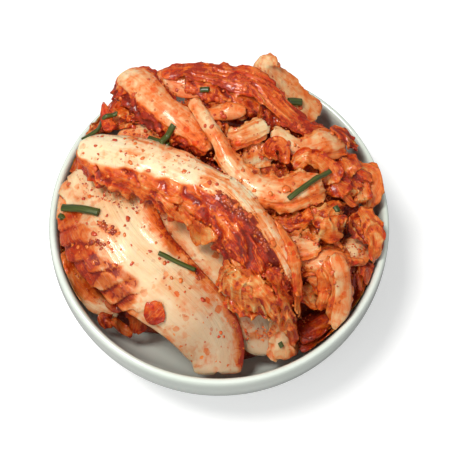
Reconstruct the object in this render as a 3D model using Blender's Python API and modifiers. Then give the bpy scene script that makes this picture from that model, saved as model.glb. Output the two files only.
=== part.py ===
"""Kimchi in its bowl: folded pieces of napa cabbage heaped in a small glazed bowl.

Frame: origin on the table under the bowl's axis, +Z up, -Y towards the diner.
The bowl is turned.  The food is built as it is piled: a rough core first, then one
leaf after another, each laid on a height map of everything that is already there.
"""
import math

import bmesh
import bpy
import numpy as np

MM = 0.001                # every length below is in millimetres
GAP = 0.3                 # free space kept between two pieces that touch

# ---- bowl
RIM_R = 80.0
RIM_Z = 60.0
BELLY_R = 81.3            # the wall bulges a little under the rim
BELLY_Z = 45.0
FOOT_R = 41.0
FOOT_W = 5.0              # width of the ring that the bowl stands on
FOOT_RECESS = 3.0
FLOOR_Z = 11.0            # inside height of the floor at the centre
BOWL_STEPS = 60
OUTER_WALL = [(RIM_R, 58.6), (81.0, 52.0), (BELLY_R, BELLY_Z), (80.6, 37.5), (78.0, 30.0),
              (72.5, 21.5), (64.0, 15.0), (53.0, 10.0), (44.0, 7.0)]
INNER_WALL = [(0.0, FLOOR_Z), (30.0, 11.6), (50.0, 14.8), (60.0, 19.2), (67.5, 26.5),
              (72.5, 35.5), (75.6, 47.0), (76.9, 57.5)]
LIP = [(77.6, 59.3), (78.7, RIM_Z), (79.5, 59.7)]

FOOT_PROFILE = [(FOOT_R + 0.6, 3.0), (FOOT_R, 0.0), (FOOT_R - FOOT_W, 0.0),
                (FOOT_R - FOOT_W - 1.5, FOOT_RECESS), (0.0, FOOT_RECESS + 1.0)]

# ---- food
CORE_EDGE_Z = 50.0        # height at which the core is widest
CORE_EDGE_TILT = 6.0      # that height is this much more at the back, less at the front
CORE_RISE = 24.0
CORE_TILT = 0.14          # slope of the heap, higher on the far side
WALL_CLEARANCE = 1.6      # how far a leaf's edge stays off the bowl's wall
MAP_HALF = 90             # the height map covers +-90 mm in 1 mm cells
NOTHING = -1000.0         # height of the map outside the bowl
SETTLE_ROUNDS = 40
STATION_STEP = 6.0        # a leaf has a row of points about every 6 mm along its path
COLUMN_STEP = 5.2         # and across it a point about every 5 mm
EDGE_THINNING = 0.55      # how much thinner a leaf is at its edge than at its midrib

# One row for each leaf, from the lowest to the uppermost:
# name, path of (x, y, height of the crown, half width), fall of the left and right edge,
# thickness at the midrib, colour.
WHITE = (0.84, 0.62, 0.42)
CREAM = (0.90, 0.72, 0.46)
PEACH = (0.80, 0.40, 0.18)
ORANGE = (0.74, 0.28, 0.08)
RED = (0.50, 0.12, 0.06)

LEAVES = [
    ("leaf_under", [(-14, -4, 68, 22), (-3, -16, 65, 18), (9, -29, 61, 16), (18, -40, 56, 13),
                    (24, -52, 51, 13), (24, -62, 45, 12)], 3, 6, 4.0, WHITE),
    ("wall_strip", [(-70, -17, 58, 5), (-67, -28, 55, 5), (-61, -36, 51, 5), (-54, -40, 48, 4),
                    (-48, -42, 46, 3)], 2, 2, 3.0, PEACH),
    ("chilli_lump", [(-56, -45, 46, 3), (-53, -47, 48, 4), (-49, -49, 46, 3)], 2, 2, 5.0, ORANGE),
    ("brown_flap", [(-39, -38, 52, 5), (-38, -45, 45, 5), (-39, -51, 39, 3)], 1, 1, 2.5, PEACH),
    ("far_right_leaf", [(24, 69, 93, 1), (23, 63, 88, 6), (31, 59, 81, 7), (39, 52, 75, 8),
                        (47, 47, 71, 8)], 2, 3, 2.5, PEACH),
    ("rim_curl", [(62, 24, 68, 3), (69, 20, 72, 5), (73, 16, 73, 6), (71, 9, 70, 5),
                  (69, 3, 65, 3)], 3, 3, 2.5, PEACH),
    ("red_fold", [(64, -23, 64, 5), (63, -33, 58, 7), (58, -44, 52, 5)], 3, 4, 3.0, RED),
    ("low_fold", [(36, -52, 47, 6), (45, -50, 50, 6), (53, -46, 52, 4)], 3, 1, 3.0, RED),
    ("lower_right_leaf", [(38, -30, 73, 14), (45, -27, 75, 14), (53, -26, 73, 11),
                          (60, -27, 66, 6)], 8, 4, 4.0, PEACH),
    ("hanging_fold", [(51, -28, 78, 7), (54, -38, 74, 6), (54, -48, 64, 5), (54, -54, 54, 3)],
     3, 5, 3.5, PEACH),
    ("right_tuft", [(41, -6, 79, 6), (49, -7, 79, 10), (56, -8, 74, 8)], 5, 3, 4.0, ORANGE),
    ("right_leaf", [(61, -7, 73, 8), (68, -9, 73, 11), (76, -13, 67, 8)], 5, 3, 3.0, RED),
    ("right_back_leaf", [(52, 20, 74, 9), (59, 13, 73, 8), (63, 6, 70, 5)], 3, 3, 3.0, RED),
    ("left_pale_piece", [(-47, 34, 77, 5), (-36, 34, 80, 7), (-25, 30, 81, 6)], 2, 2, 3.5, WHITE),
    ("chilli_tip", [(-50, 36, 74, 3), (-53, 43, 79, 3), (-54, 49, 84, 1)], 2, 2, 5.0, RED),
    ("back_left_piece", [(-49, 47, 76, 4), (-42, 48, 80, 8), (-34, 44, 83, 6)], 2, 2, 3.0, RED),
    ("big_leaf", [(-61, 19, 68, 15), (-54, -2, 74, 23), (-44, -16, 75, 24), (-30, -25, 73, 21),
                  (-18, -33, 70, 18), (-8, -42, 66, 17), (-1, -51, 60, 15), (1, -61, 54, 11),
                  (0, -74, 51, 10)], 16, 5, 5.0, WHITE),
    ("back_mid_leaf", [(-14, 52, 85, 6), (-3, 49, 87, 8), (8, 46, 87, 7), (15, 45, 84, 5)],
     3, 3, 3.0, ORANGE),
    ("back_arc_leaf", [(-27, 62, 85, 4), (-14, 62, 90, 5), (2, 59, 92, 7), (14, 56, 93, 8),
                       (22, 51, 92, 6), (28, 45, 90, 6), (34, 40, 87, 6), (42, 36, 82, 5),
                       (50, 35, 77, 6)], 2, 4, 4.0, RED),
    ("right_band", [(25, 33, 84, 4), (31, 29, 84, 4), (39, 26, 82, 5), (49, 29, 79, 8),
                    (59, 33, 73, 6)], 3, 3, 3.0, PEACH),
    ("standing_rib", [(19, 30, 86, 5), (18, 22, 83, 7), (19, 16, 79, 5)], 3, 3, 4.0, WHITE),
    ("ridged_rib", [(4, 29, 88, 6), (12, 30, 90, 6), (22, 35, 89, 5)], 5, 3, 4.5, CREAM),
    ("small_loop", [(34, 18, 79, 3), (40, 20, 83, 4), (46, 19, 82, 4), (51, 15, 79, 5),
                    (52, 9, 75, 4)], 4, 4, 3.0, PEACH),
    ("left_rolled_leaf", [(-47, 65, 84, 8), (-38, 56, 90, 11), (-27, 43, 93, 9),
                          (-17, 35, 92, 9), (-10, 29, 89, 7), (-5, 23, 86, 4)],
     10, 5, 5.0, CREAM),
    ("curved_band", [(-12, 46, 92, 3), (-6, 36, 92, 3), (0, 26, 92, 3), (5, 16, 91, 4),
                     (11, 8, 90, 5), (20, 3, 90, 7), (30, 2, 90, 9), (39, 6, 88, 11),
                     (45, 8, 86, 5)], 4, 3, 3.0, PEACH),
    ("top_leaf", [(-64, 27, 83, 9), (-47, 19, 91, 13), (-31, 13, 94, 14), (-14, 4, 95, 14),
                  (1, -5, 95, 13), (11, -17, 93, 14), (18, -27, 89, 17), (23, -35, 83, 17),
                  (29, -43, 75, 13)], 13, 8, 6.0, CREAM),
]


# ---------------------------------------------------------------- scene set-up
for old in list(bpy.data.objects):
    bpy.data.objects.remove(old, do_unlink=True)

kimchi = bpy.data.collections.new("kimchi_in_bowl")
bpy.context.scene.collection.children.link(kimchi)


def finish(name, colour, roughness):
    """A Principled material of one colour, for the plain construction model."""
    material = bpy.data.materials.new(name)
    material.use_nodes = True
    shader = material.node_tree.nodes["Principled BSDF"]
    shader.inputs["Base Color"].default_value = (*colour, 1.0)
    shader.inputs["Roughness"].default_value = roughness
    shader.inputs["Metallic"].default_value = 0.0
    return material


def place(name, mesh, material):
    """Puts a mesh into the collection as one smooth-shaded object."""
    mesh.materials.append(material)
    mesh.shade_smooth()
    part = bpy.data.objects.new(name, mesh)
    kimchi.objects.link(part)
    return part


# ---------------------------------------------------------------- the bowl
def build_bowl():
    """One profile from the floor's centre over the lip to the foot, turned about Z."""
    profile = INNER_WALL + LIP + OUTER_WALL + FOOT_PROFILE
    mesh = bpy.data.meshes.new("bowl")
    points = [(r * MM, 0.0, z * MM) for r, z in profile]
    edges = [(i, i + 1) for i in range(len(points) - 1)]
    mesh.from_pydata(points, edges, [])
    bowl = place("bowl", mesh, finish("celadon_glaze", (0.80, 0.84, 0.77), 0.12))
    turn = bowl.modifiers.new("turned", "SCREW")
    turn.axis = "Z"
    turn.angle = math.tau
    turn.steps = BOWL_STEPS
    turn.render_steps = BOWL_STEPS
    turn.use_merge_vertices = True
    turn.merge_threshold = 0.00005
    turn.use_smooth_shade = True


def floor_height(radius):
    """Height of the bowl's inside surface at a distance from the axis."""
    rs, zs = zip(*INNER_WALL)
    return np.interp(radius, rs, zs)


def wall_radius(height):
    """Inside radius of the bowl at a height; above the rim there is no wall."""
    rs, zs = zip(*INNER_WALL)
    return np.where(height > RIM_Z + 1.0, RIM_R, np.interp(height, zs, rs))


# ---------------------------------------------------------------- the height map
def empty_map():
    """Heights of the bare bowl on a 1 mm grid."""
    axis = np.arange(-MAP_HALF, MAP_HALF + 1)
    x, y = np.meshgrid(axis, axis, indexing="ij")
    radius = np.hypot(x, y)
    heights = floor_height(radius)
    heights[radius > INNER_WALL[-1][0]] = RIM_Z
    heights[radius > BELLY_R] = NOTHING
    return heights


def spread(heights):
    """Each cell takes the highest of itself and its eight neighbours."""
    padded = np.pad(heights, 1, mode="edge")
    size = heights.shape[0]
    shifts = [padded[i:i + size, j:j + size] for i in range(3) for j in range(3)]
    return np.max(shifts, axis=0)


def barycentric_samples(steps):
    """Weights of an even set of points over a triangle."""
    i, j = np.meshgrid(np.arange(steps + 1), np.arange(steps + 1), indexing="ij")
    inside = i + j <= steps
    i, j = i[inside] / steps, j[inside] / steps
    return np.stack([i, j, 1.0 - i - j], axis=1)


SAMPLES = barycentric_samples(14)


def sample_faces(points, triangles):
    """Points spread over every triangle, and the map cell under each of them."""
    spots = np.einsum("sk,tkc->tsc", SAMPLES, points[triangles])
    cells = np.clip(np.rint(spots[..., :2]).astype(int) + MAP_HALF, 0, 2 * MAP_HALF)
    return spots, cells[..., 0], cells[..., 1]


def raise_map(heights, points, triangles):
    """Records the top of a piece that has been laid down."""
    spots, i, j = sample_faces(points, triangles)
    np.maximum.at(heights, (i, j), spots[..., 2])


def lift_needed(heights, points, triangles):
    """How far each vertex must rise for its faces to clear the map by the gap."""
    spots, i, j = sample_faces(points, triangles)
    short = np.maximum(heights[i, j] + 2 * GAP - spots[..., 2], 0.0)
    share = np.max(short[:, :, None] * SAMPLES[None, :, :], axis=1)
    lift = np.zeros(len(points))
    np.maximum.at(lift, triangles, share)
    return lift


# ---------------------------------------------------------------- a leaf
def smooth_path(knots, count):
    """A Catmull-Rom curve through the knots: x, y, z and half width at each station."""
    knots = np.array(knots, float)
    slopes = np.gradient(knots, axis=0)
    t = np.linspace(0.0, len(knots) - 1.0, count)
    k = np.minimum(t.astype(int), len(knots) - 2)
    s = (t - k)[:, None]
    h00 = 2 * s**3 - 3 * s**2 + 1
    h10 = s**3 - 2 * s**2 + s
    return (h00 * knots[k] + h10 * slopes[k] + (1 - h00) * knots[k + 1]
            + (s**3 - s**2) * slopes[k + 1])


def leaf_sheet(path, fall_right, fall_left, along, across):
    """The leaf's upper side as a grid: crowned across, falling towards both edges.

    Half-width narrows to a rounded end; height = crown - fall * v**2 - a slow ripple.
    """
    stations = smooth_path(path, along)
    heading = np.gradient(stations[:, :2], axis=0)
    heading /= np.linalg.norm(heading, axis=1)[:, None]
    side = np.stack([heading[:, 1], -heading[:, 0]], axis=1)
    u = np.linspace(0.0, 1.0, along)
    ends = np.clip(np.minimum(u, 1.0 - u) / 0.10, 0.0, 1.0)
    width = stations[:, 3] * (0.68 + 0.32 * np.sqrt(1.0 - (1.0 - ends) ** 2))
    v = np.linspace(-1.0, 1.0, across)
    fall = np.where(v > 0.0, fall_right, fall_left)
    grid = np.empty((along, across, 3))
    grid[..., :2] = stations[:, None, :2] + side[:, None, :] * (width[:, None] * v)[..., None]
    ripple = 0.8 * np.sin(9.0 * u[:, None] + 4.0 * v) * v**2
    grid[..., 2] = stations[:, 2][:, None] - fall * v**2 + ripple
    return grid


def keep_off_wall(grid, thickness):
    """Draws in what would touch the bowl's wall."""
    radius = np.hypot(grid[..., 0], grid[..., 1])
    limit = wall_radius(grid[..., 2] - thickness) - WALL_CLEARANCE
    grid[..., :2] *= np.minimum(1.0, limit / np.maximum(radius, 1.0))[..., None]


def grid_triangles(along, across):
    """Two triangles for each cell of a grid."""
    index = np.arange(along * across).reshape(along, across)
    a, b = index[:-1, :-1].ravel(), index[1:, :-1].ravel()
    c, d = index[1:, 1:].ravel(), index[:-1, 1:].ravel()
    return np.concatenate([np.stack([a, b, c], 1), np.stack([a, c, d], 1)])


def closed_leaf(name, top, bottom, along, across):
    """Upper side, under side and the rim between them, as one closed mesh."""
    count = along * across
    faces = grid_triangles(along, across)
    index = np.arange(count).reshape(along, across)
    rim = np.concatenate([index[:, 0], index[-1, 1:], index[-2::-1, -1], index[0, -2:0:-1]])
    nxt = np.roll(rim, -1)
    walls = np.concatenate([np.stack([rim, nxt, nxt + count], 1),
                            np.stack([rim, nxt + count, rim + count], 1)])
    mesh = bpy.data.meshes.new(name)
    points = np.concatenate([top, bottom]) * MM
    triangles = np.concatenate([faces, faces[:, ::-1] + count, walls])
    mesh.from_pydata(points.tolist(), [], triangles.tolist())
    shape = bmesh.new()
    shape.from_mesh(mesh)
    bmesh.ops.recalc_face_normals(shape, faces=shape.faces)
    shape.to_mesh(mesh)
    shape.free()
    return mesh


def shape_leaf(path, fall_right, fall_left, thickness):
    """Grid size, upper side and under side of one leaf before it is laid down."""
    length = np.sum(np.linalg.norm(np.diff(np.array(path, float)[:, :2], axis=0), axis=1))
    widest = 2.0 * max(half_width for x, y, z, half_width in path)
    along = int(np.clip(round(length / STATION_STEP), 5, 19))
    across = int(np.clip(round(widest / COLUMN_STEP) + 2, 5, 10))
    grid = leaf_sheet(path, fall_right, fall_left, along, across)
    keep_off_wall(grid, thickness)
    v = np.linspace(-1.0, 1.0, across)
    depth = np.broadcast_to(thickness * (1.0 - EDGE_THINNING * v**2), (along, across)).ravel()
    top = grid.reshape(-1, 3)
    bottom = top - depth[:, None] * np.array([0.0, 0.0, 1.0])
    return along, across, top, bottom


def lay_leaf(heights, name, path, fall_right, fall_left, thickness, colour):
    """Shapes one leaf, lets it settle on the map, and adds it to the map."""
    along, across, top, bottom = shape_leaf(path, fall_right, fall_left, thickness)
    faces = grid_triangles(along, across)
    limits = spread(heights)
    rise = np.zeros(len(top))
    for _ in range(SETTLE_ROUNDS):
        lift = lift_needed(limits, bottom, faces)
        bottom[:, 2] += lift
        rise += lift
    top[:, 2] += rise
    raise_map(heights, top, faces)
    mesh = closed_leaf(name, top, bottom, along, across)
    place(name, mesh, finish(name + "_leaf", colour, 0.3))
    worst = int(rise.argmax())
    print(f"{name:18s} {along:2d} x {across:2d}  rose {rise[worst]:4.1f} mm at "
          f"({top[worst, 0]:.0f}, {top[worst, 1]:.0f})  top {top[:, 2].max():5.1f}")


# ---------------------------------------------------------------- the core
def core_edge_height(angle):
    """Height of the core's widest line."""
    return CORE_EDGE_Z + CORE_EDGE_TILT * math.sin(angle)


def core_outline(angle):
    """Plan radius of the core: uneven, and drawn in where the bowl shows at the front."""
    full = wall_radius(core_edge_height(angle)) - WALL_CLEARANCE - 1.0
    front_left = 13.0 * np.exp(-((angle + 2.05) / 0.38) ** 2)
    front_right = 7.0 * np.exp(-((angle + 0.95) / 0.30) ** 2)
    back_right = 5.0 * np.exp(-((angle - 0.45) / 0.25) ** 2)
    uneven = 0.7 * np.sin(5 * angle + 0.6) + 0.5 * np.sin(9 * angle + 2.0) - 1.2
    return full - front_left - front_right - back_right + uneven


def core_top(x, y, share, angle):
    """Crown of the core at a plan position; share is 0 on the axis and 1 at its outline."""
    lumps = 2.2 * math.sin(0.21 * x + 0.5) * math.cos(0.24 * y) + 1.5 * math.sin(0.38 * (x - y))
    dome = CORE_RISE * math.sqrt(max(1.0 - share**2, 0.0))
    edge = CORE_EDGE_Z + (core_edge_height(angle) - CORE_EDGE_Z) * share**2
    return edge + dome + (CORE_TILT * y + lumps) * (1.0 - share**4)


def ceiling_map():
    """The lowest underside above each cell, where leaves are going to lie."""
    ceiling = np.full((2 * MAP_HALF + 1, 2 * MAP_HALF + 1), -NOTHING)
    for row in LEAVES:
        along, across, top, bottom = shape_leaf(*row[1:5])
        spots, i, j = sample_faces(bottom, grid_triangles(along, across))
        np.minimum.at(ceiling, (i, j), spots[..., 2])
    return ceiling


def lay_core(heights):
    """A round ball reshaped: its lower half follows the bowl, its upper half is the heap.

    Where a leaf is going to lie lower than the heap's dome, the core gives way.
    """
    shape = bmesh.new()
    bmesh.ops.create_uvsphere(shape, u_segments=36, v_segments=20, radius=1.0)
    for vertex in shape.verts:
        x, y, z = vertex.co
        share = min(math.hypot(x, y), 1.0)
        angle = math.atan2(y, x)
        radius = share * float(core_outline(angle))
        x, y = radius * math.cos(angle), radius * math.sin(angle)
        if z > -0.001:
            height = core_top(x, y, share, angle)
        else:
            height = float(floor_height(radius)) + 2 * GAP
        vertex.co = (x, y, height)
    bmesh.ops.triangulate(shape, faces=shape.faces)
    shape.verts.ensure_lookup_table()
    points = np.array([v.co[:] for v in shape.verts])
    upper = [[v.index for v in f.verts] for f in shape.faces if f.normal.z > 0.0]
    upper = np.array(upper)
    upside_down = points * np.array([1.0, 1.0, -1.0])
    ground = spread(-ceiling_map())
    for _ in range(SETTLE_ROUNDS):
        upside_down[:, 2] += lift_needed(ground, upside_down, upper)
    for vertex, height in zip(shape.verts, -upside_down[:, 2]):
        if vertex.co.z > height:
            vertex.co.z = height
    points[:, 2] = [v.co.z for v in shape.verts]
    raise_map(heights, points, upper)
    bmesh.ops.scale(shape, vec=(MM, MM, MM), verts=shape.verts)
    mesh = bpy.data.meshes.new("leaf_core")
    shape.to_mesh(mesh)
    shape.free()
    place("leaf_core", mesh, finish("mixed_leaf", RED, 0.4))


# ---------------------------------------------------------------- build it
build_bowl()
pile = empty_map()
lay_core(pile)
for row in LEAVES:
    lay_leaf(pile, *row)
print("crown of the heap", round(float(pile.max()), 1), "mm")
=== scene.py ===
# %% [markdown]
# # A bowl of kimchi
#
# Napa cabbage kimchi is made of a few kinds of things: thick white midribs that turn
# translucent in the brine, thin frilled leaf that soaks up the red paste, chilli flakes,
# minced paste and short pieces of chive.  They lie folded over one another in a small
# glazed bowl.  This file dresses the plain construction model in those things.  The model
# is the frame: it says where each big leaf lies and how much room it may take.

# %% Load the frame
import math

import bpy
import numpy as np
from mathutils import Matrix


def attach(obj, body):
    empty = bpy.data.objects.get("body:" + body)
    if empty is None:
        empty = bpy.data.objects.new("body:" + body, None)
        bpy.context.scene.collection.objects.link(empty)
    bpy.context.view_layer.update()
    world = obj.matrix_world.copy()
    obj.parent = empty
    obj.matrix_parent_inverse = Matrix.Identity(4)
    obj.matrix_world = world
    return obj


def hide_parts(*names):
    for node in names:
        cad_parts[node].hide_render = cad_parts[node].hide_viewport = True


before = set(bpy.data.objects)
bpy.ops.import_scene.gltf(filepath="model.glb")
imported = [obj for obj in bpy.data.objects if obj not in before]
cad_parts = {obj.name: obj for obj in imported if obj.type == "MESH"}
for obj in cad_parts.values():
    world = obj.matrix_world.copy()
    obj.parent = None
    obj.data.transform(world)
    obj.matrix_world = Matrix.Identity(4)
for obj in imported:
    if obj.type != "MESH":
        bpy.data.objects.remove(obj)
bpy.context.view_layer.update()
MM = 0.001

# %% [markdown]
# ## Camera, floor and light
#
# The bowl is seen from high up in front, about seventy degrees above the table, with a
# longish lens.  A white floor, a bright surround and one broad lamp above the far side
# give the even studio look: the crests of the leaves catch the light, and what faces the
# diner falls a little into shade.

# %% Camera and stage
HEIGHT_ANGLE = math.radians(69.7)     # how far above the table the camera looks from
DISTANCE = 0.52
AIM = (0.0028, -0.0042, 0.060)

lens = bpy.data.cameras.new("camera")
lens.lens = 88.5
lens.sensor_width = 36.0
camera = bpy.data.objects.new("camera", lens)
bpy.context.scene.collection.objects.link(camera)
camera.location = (AIM[0], AIM[1] - DISTANCE * math.cos(HEIGHT_ANGLE),
                   AIM[2] + DISTANCE * math.sin(HEIGHT_ANGLE))
camera.rotation_euler = (math.radians(90.0) - HEIGHT_ANGLE, 0.0, 0.0)
bpy.context.scene.camera = camera
bpy.context.scene.view_settings.view_transform = "Standard"


def area_lamp(name, place, aim, size, watts, colour):
    """A round lamp at a place, turned towards an aim point."""
    light = bpy.data.lights.new(name, "AREA")
    light.shape = "DISK"
    light.size = size
    light.energy = watts
    light.color = colour
    lamp = bpy.data.objects.new(name, light)
    bpy.context.scene.collection.objects.link(lamp)
    lamp.location = place
    heading = np.array(aim) - np.array(place)
    yaw = math.atan2(heading[1], heading[0]) - math.pi / 2
    pitch = math.atan2(heading[2], math.hypot(heading[0], heading[1]))
    lamp.rotation_euler = (pitch + math.pi / 2, 0.0, yaw)
    return lamp


area_lamp("key_lamp", (-0.28, 0.02, 0.96), (0.0, 0.0, 0.07), 0.26, 5.7, (1.0, 0.98, 0.95))
area_lamp("side_lamp", (-0.42, -0.36, 0.60), (0.0, -0.02, 0.05), 0.5, 0.9, (0.97, 0.98, 1.0))
area_lamp("fill_lamp", (0.30, -0.60, 0.70), (0.0, 0.0, 0.06), 0.9, 1.0, (0.95, 0.97, 1.0))

world = bpy.data.worlds.new("white_room")
world.use_nodes = True
world.node_tree.nodes["Background"].inputs["Color"].default_value = (1.0, 1.0, 1.0, 1.0)
world.node_tree.nodes["Background"].inputs["Strength"].default_value = 0.40
bpy.context.scene.world = world

floor_mesh = bpy.data.meshes.new("floor")
HALF_FLOOR = 3.0
corners = [(-HALF_FLOOR, -HALF_FLOOR, 0.0), (HALF_FLOOR, -HALF_FLOOR, 0.0),
           (HALF_FLOOR, HALF_FLOOR, 0.0), (-HALF_FLOOR, HALF_FLOOR, 0.0)]
floor_mesh.from_pydata(corners, [], [(0, 1, 2, 3)])
floor = bpy.data.objects.new("floor", floor_mesh)
bpy.context.scene.collection.objects.link(floor)
print("camera, three lamps and a white floor")

# %% [markdown]
# ## Smooth randomness
#
# Leaves are uneven at every size, so most shapes below are bent by gradient noise: random
# slopes on a unit lattice, blended smoothly in between.  It is worked out for whole arrays
# at once and always comes out the same.

# %% Noise
TABLE_SIZE = 256


def noise(x, y, seed):
    """Gradient noise, about -1 to 1.

    Every lattice corner has a random slope.  The value is the four corners' slopes times
    the distances to them, blended with the quintic 6t^5 - 15t^4 + 10t^3.
    """
    turn = np.random.default_rng(seed).uniform(0.0, math.tau, (TABLE_SIZE, TABLE_SIZE))
    x, y = np.broadcast_arrays(np.asarray(x, float), np.asarray(y, float))
    i, j = np.floor(x).astype(int), np.floor(y).astype(int)
    fx, fy = x - i, y - j
    sx = fx**3 * (fx * (fx * 6 - 15) + 10)
    sy = fy**3 * (fy * (fy * 6 - 15) + 10)

    def corner(di, dj):
        angle = turn[(i + di) % TABLE_SIZE, (j + dj) % TABLE_SIZE]
        return np.cos(angle) * (fx - di) + np.sin(angle) * (fy - dj)

    low = corner(0, 0) * (1 - sx) + corner(1, 0) * sx
    high = corner(0, 1) * (1 - sx) + corner(1, 1) * sx
    return 1.5 * (low * (1 - sy) + high * sy)


def layered(x, y, seed, layers=3):
    """Noise plus half as much at twice the fineness, and so on."""
    total = sum(noise(x * 2**k, y * 2**k, seed + k) / 2**k for k in range(layers))
    return total / (2 - 2.0 ** (1 - layers))


def ridges(x, y, seed, layers=3):
    """Sharp crests, 0 to 1: one minus the size of the noise, squared and layered."""
    total = sum((1 - np.abs(noise(x * 2**k, y * 2**k, seed + k)))**2 / 2**k
                for k in range(layers))
    return total / (2 - 2.0 ** (1 - layers))


def ramp(value, start, end):
    """0 below start, 1 above end, smooth in between."""
    t = np.clip((value - start) / (end - start), 0.0, 1.0)
    return t * t * (3 - 2 * t)

# %% [markdown]
# ## The height map
#
# The heap is dressed from the bottom up, the way it was piled.  A map of heights over the
# table, in small square cells, remembers the highest thing in each place.  A new leaf is
# lifted just enough to clear the map and then joins it, so nothing cuts through anything.

# %% Height map
CELL = 0.75                     # size of a cell, in millimetres
REACH = 88.0                    # the map covers this far to each side
CELLS = int(2 * REACH / CELL) + 1
GAP = 0.25


def cell_of(points):
    """Row and column of the map under each point."""
    index = np.rint((points[..., :2] + REACH) / CELL).astype(int)
    index = np.clip(index, 0, CELLS - 1)
    return index[..., 0], index[..., 1]


def spread(heights, rounds=1):
    """Each cell takes the highest of itself and its eight neighbours, some times over."""
    for _ in range(rounds):
        padded = np.pad(heights, 1, mode="edge")
        size = heights.shape[0]
        heights = np.max([padded[i:i + size, j:j + size] for i in range(3) for j in range(3)],
                         axis=0)
    return heights


def blur(values, rounds=1):
    """Each value becomes the mean of its 3 x 3 neighbourhood, some times over."""
    for _ in range(rounds):
        padded = np.pad(values, 1, mode="edge")
        rows, columns = values.shape
        values = sum(padded[i:i + rows, j:j + columns] for i in range(3)
                     for j in range(3)) / 9.0
    return values


def stamp(heights, points):
    """Raises the map to a grid of points, and to the points halfway between them."""
    halfway_rows = 0.5 * (points[1:] + points[:-1])
    halfway_columns = 0.5 * (points[:, 1:] + points[:, :-1])
    halfway_both = 0.5 * (halfway_rows[:, 1:] + halfway_rows[:, :-1])
    for grid in (points, halfway_rows, halfway_columns, halfway_both):
        np.maximum.at(heights, cell_of(grid), grid[..., 2])


def spots_of_node(name):
    """Points all over one solid of the frame: each triangle is read in small even steps."""
    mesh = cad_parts[name].data
    mesh.calc_loop_triangles()
    points = np.empty(len(mesh.vertices) * 3)
    mesh.vertices.foreach_get("co", points)
    points = points.reshape(-1, 3) / MM
    corners = np.empty(len(mesh.loop_triangles) * 3, int)
    mesh.loop_triangles.foreach_get("vertices", corners)
    corners = corners.reshape(-1, 3)
    steps = 22
    a, b = np.meshgrid(np.arange(steps + 1), np.arange(steps + 1), indexing="ij")
    keep = a + b <= steps
    a, b = a[keep] / steps, b[keep] / steps
    weights = np.stack([a, b, 1 - a - b], axis=1)
    return np.einsum("sk,tkc->tsc", weights, points[corners])


def top_of_node(name):
    """Height map of the top of one solid of the frame, far below zero where it isn't."""
    spots = spots_of_node(name)
    heights = np.full((CELLS, CELLS), -1000.0)
    np.maximum.at(heights, cell_of(spots), spots[..., 2])
    return heights


def bottom_of_node(name):
    """Height map of the underside of one solid of the frame, very high where it isn't."""
    spots = spots_of_node(name)
    heights = np.full((CELLS, CELLS), 1000.0)
    np.minimum.at(heights, cell_of(spots), spots[..., 2])
    return heights


axis = np.linspace(-REACH, REACH, CELLS)
MAP_X, MAP_Y = np.meshgrid(axis, axis, indexing="ij")
core_solid = top_of_node("leaf_core")
print("map of", CELLS, "x", CELLS, "cells; core up to", round(core_solid.max(), 1), "mm")

# %% [markdown]
# ## Meshes from arrays
#
# Every soft piece is a grid of points: an upper side, an under side, and a rim that joins
# them, so each piece is one closed skin.  Numbers that the materials need ride along as
# attributes of the points.

# %% Grid shells
def grid_quads(rows, columns, offset=0):
    """The quads of a grid of points, row by row."""
    index = np.arange(rows * columns).reshape(rows, columns) + offset
    return np.stack([index[:-1, :-1], index[:-1, 1:], index[1:, 1:], index[1:, :-1]],
                    axis=-1).reshape(-1, 4)


def shell_quads(rows, columns, offset=0):
    """Upper side, under side and rim of a closed shell with rows x columns points a side."""
    count = rows * columns
    upper = grid_quads(rows, columns, offset)
    under = upper[:, ::-1] + count
    index = np.arange(count).reshape(rows, columns) + offset
    rim = np.concatenate([index[:, 0], index[-1, 1:], index[-2::-1, -1], index[0, -2:0:-1]])
    after = np.roll(rim, -1)
    wall = np.stack([rim, rim + count, after + count, after], axis=1)
    return np.concatenate([upper, under, wall[:, ::-1]])


def mesh_piece(name, points, quads, material, fields=None):
    """An object from points in millimetres, its quads, a material and point attributes."""
    mesh = bpy.data.meshes.new(name)
    mesh.vertices.add(len(points))
    mesh.vertices.foreach_set("co", (points * MM).astype(np.float32).ravel())
    mesh.loops.add(quads.size)
    mesh.loops.foreach_set("vertex_index", quads.astype(np.int32).ravel())
    mesh.polygons.add(len(quads))
    mesh.polygons.foreach_set("loop_start", np.arange(0, quads.size, 4, dtype=np.int32))
    mesh.update(calc_edges=True)
    mesh.validate()
    mesh.shade_smooth()
    for field, values in (fields or {}).items():
        layer = mesh.attributes.new(field, "FLOAT_VECTOR", "POINT")
        layer.data.foreach_set("vector", values.astype(np.float32).ravel())
    mesh.materials.append(material)
    piece = bpy.data.objects.new(name, mesh)
    bpy.context.scene.collection.objects.link(piece)
    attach(piece, "root")
    return piece


print("mesh helpers ready")

# %% [markdown]
# ## The shape of a leaf
#
# A leaf follows a path, and across the path it is an arc on each side of its crown, so its
# edges turn down like a soft leaf's.  The thick midrib is one band of it, with shallow
# grooves along its length; the rest is thin blade, wrinkled and frilled towards the edge.
# The wrinkles are pushed sideways as well as up, which sharpens their crests the way a
# breaking wave is sharper than a sine.

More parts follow.
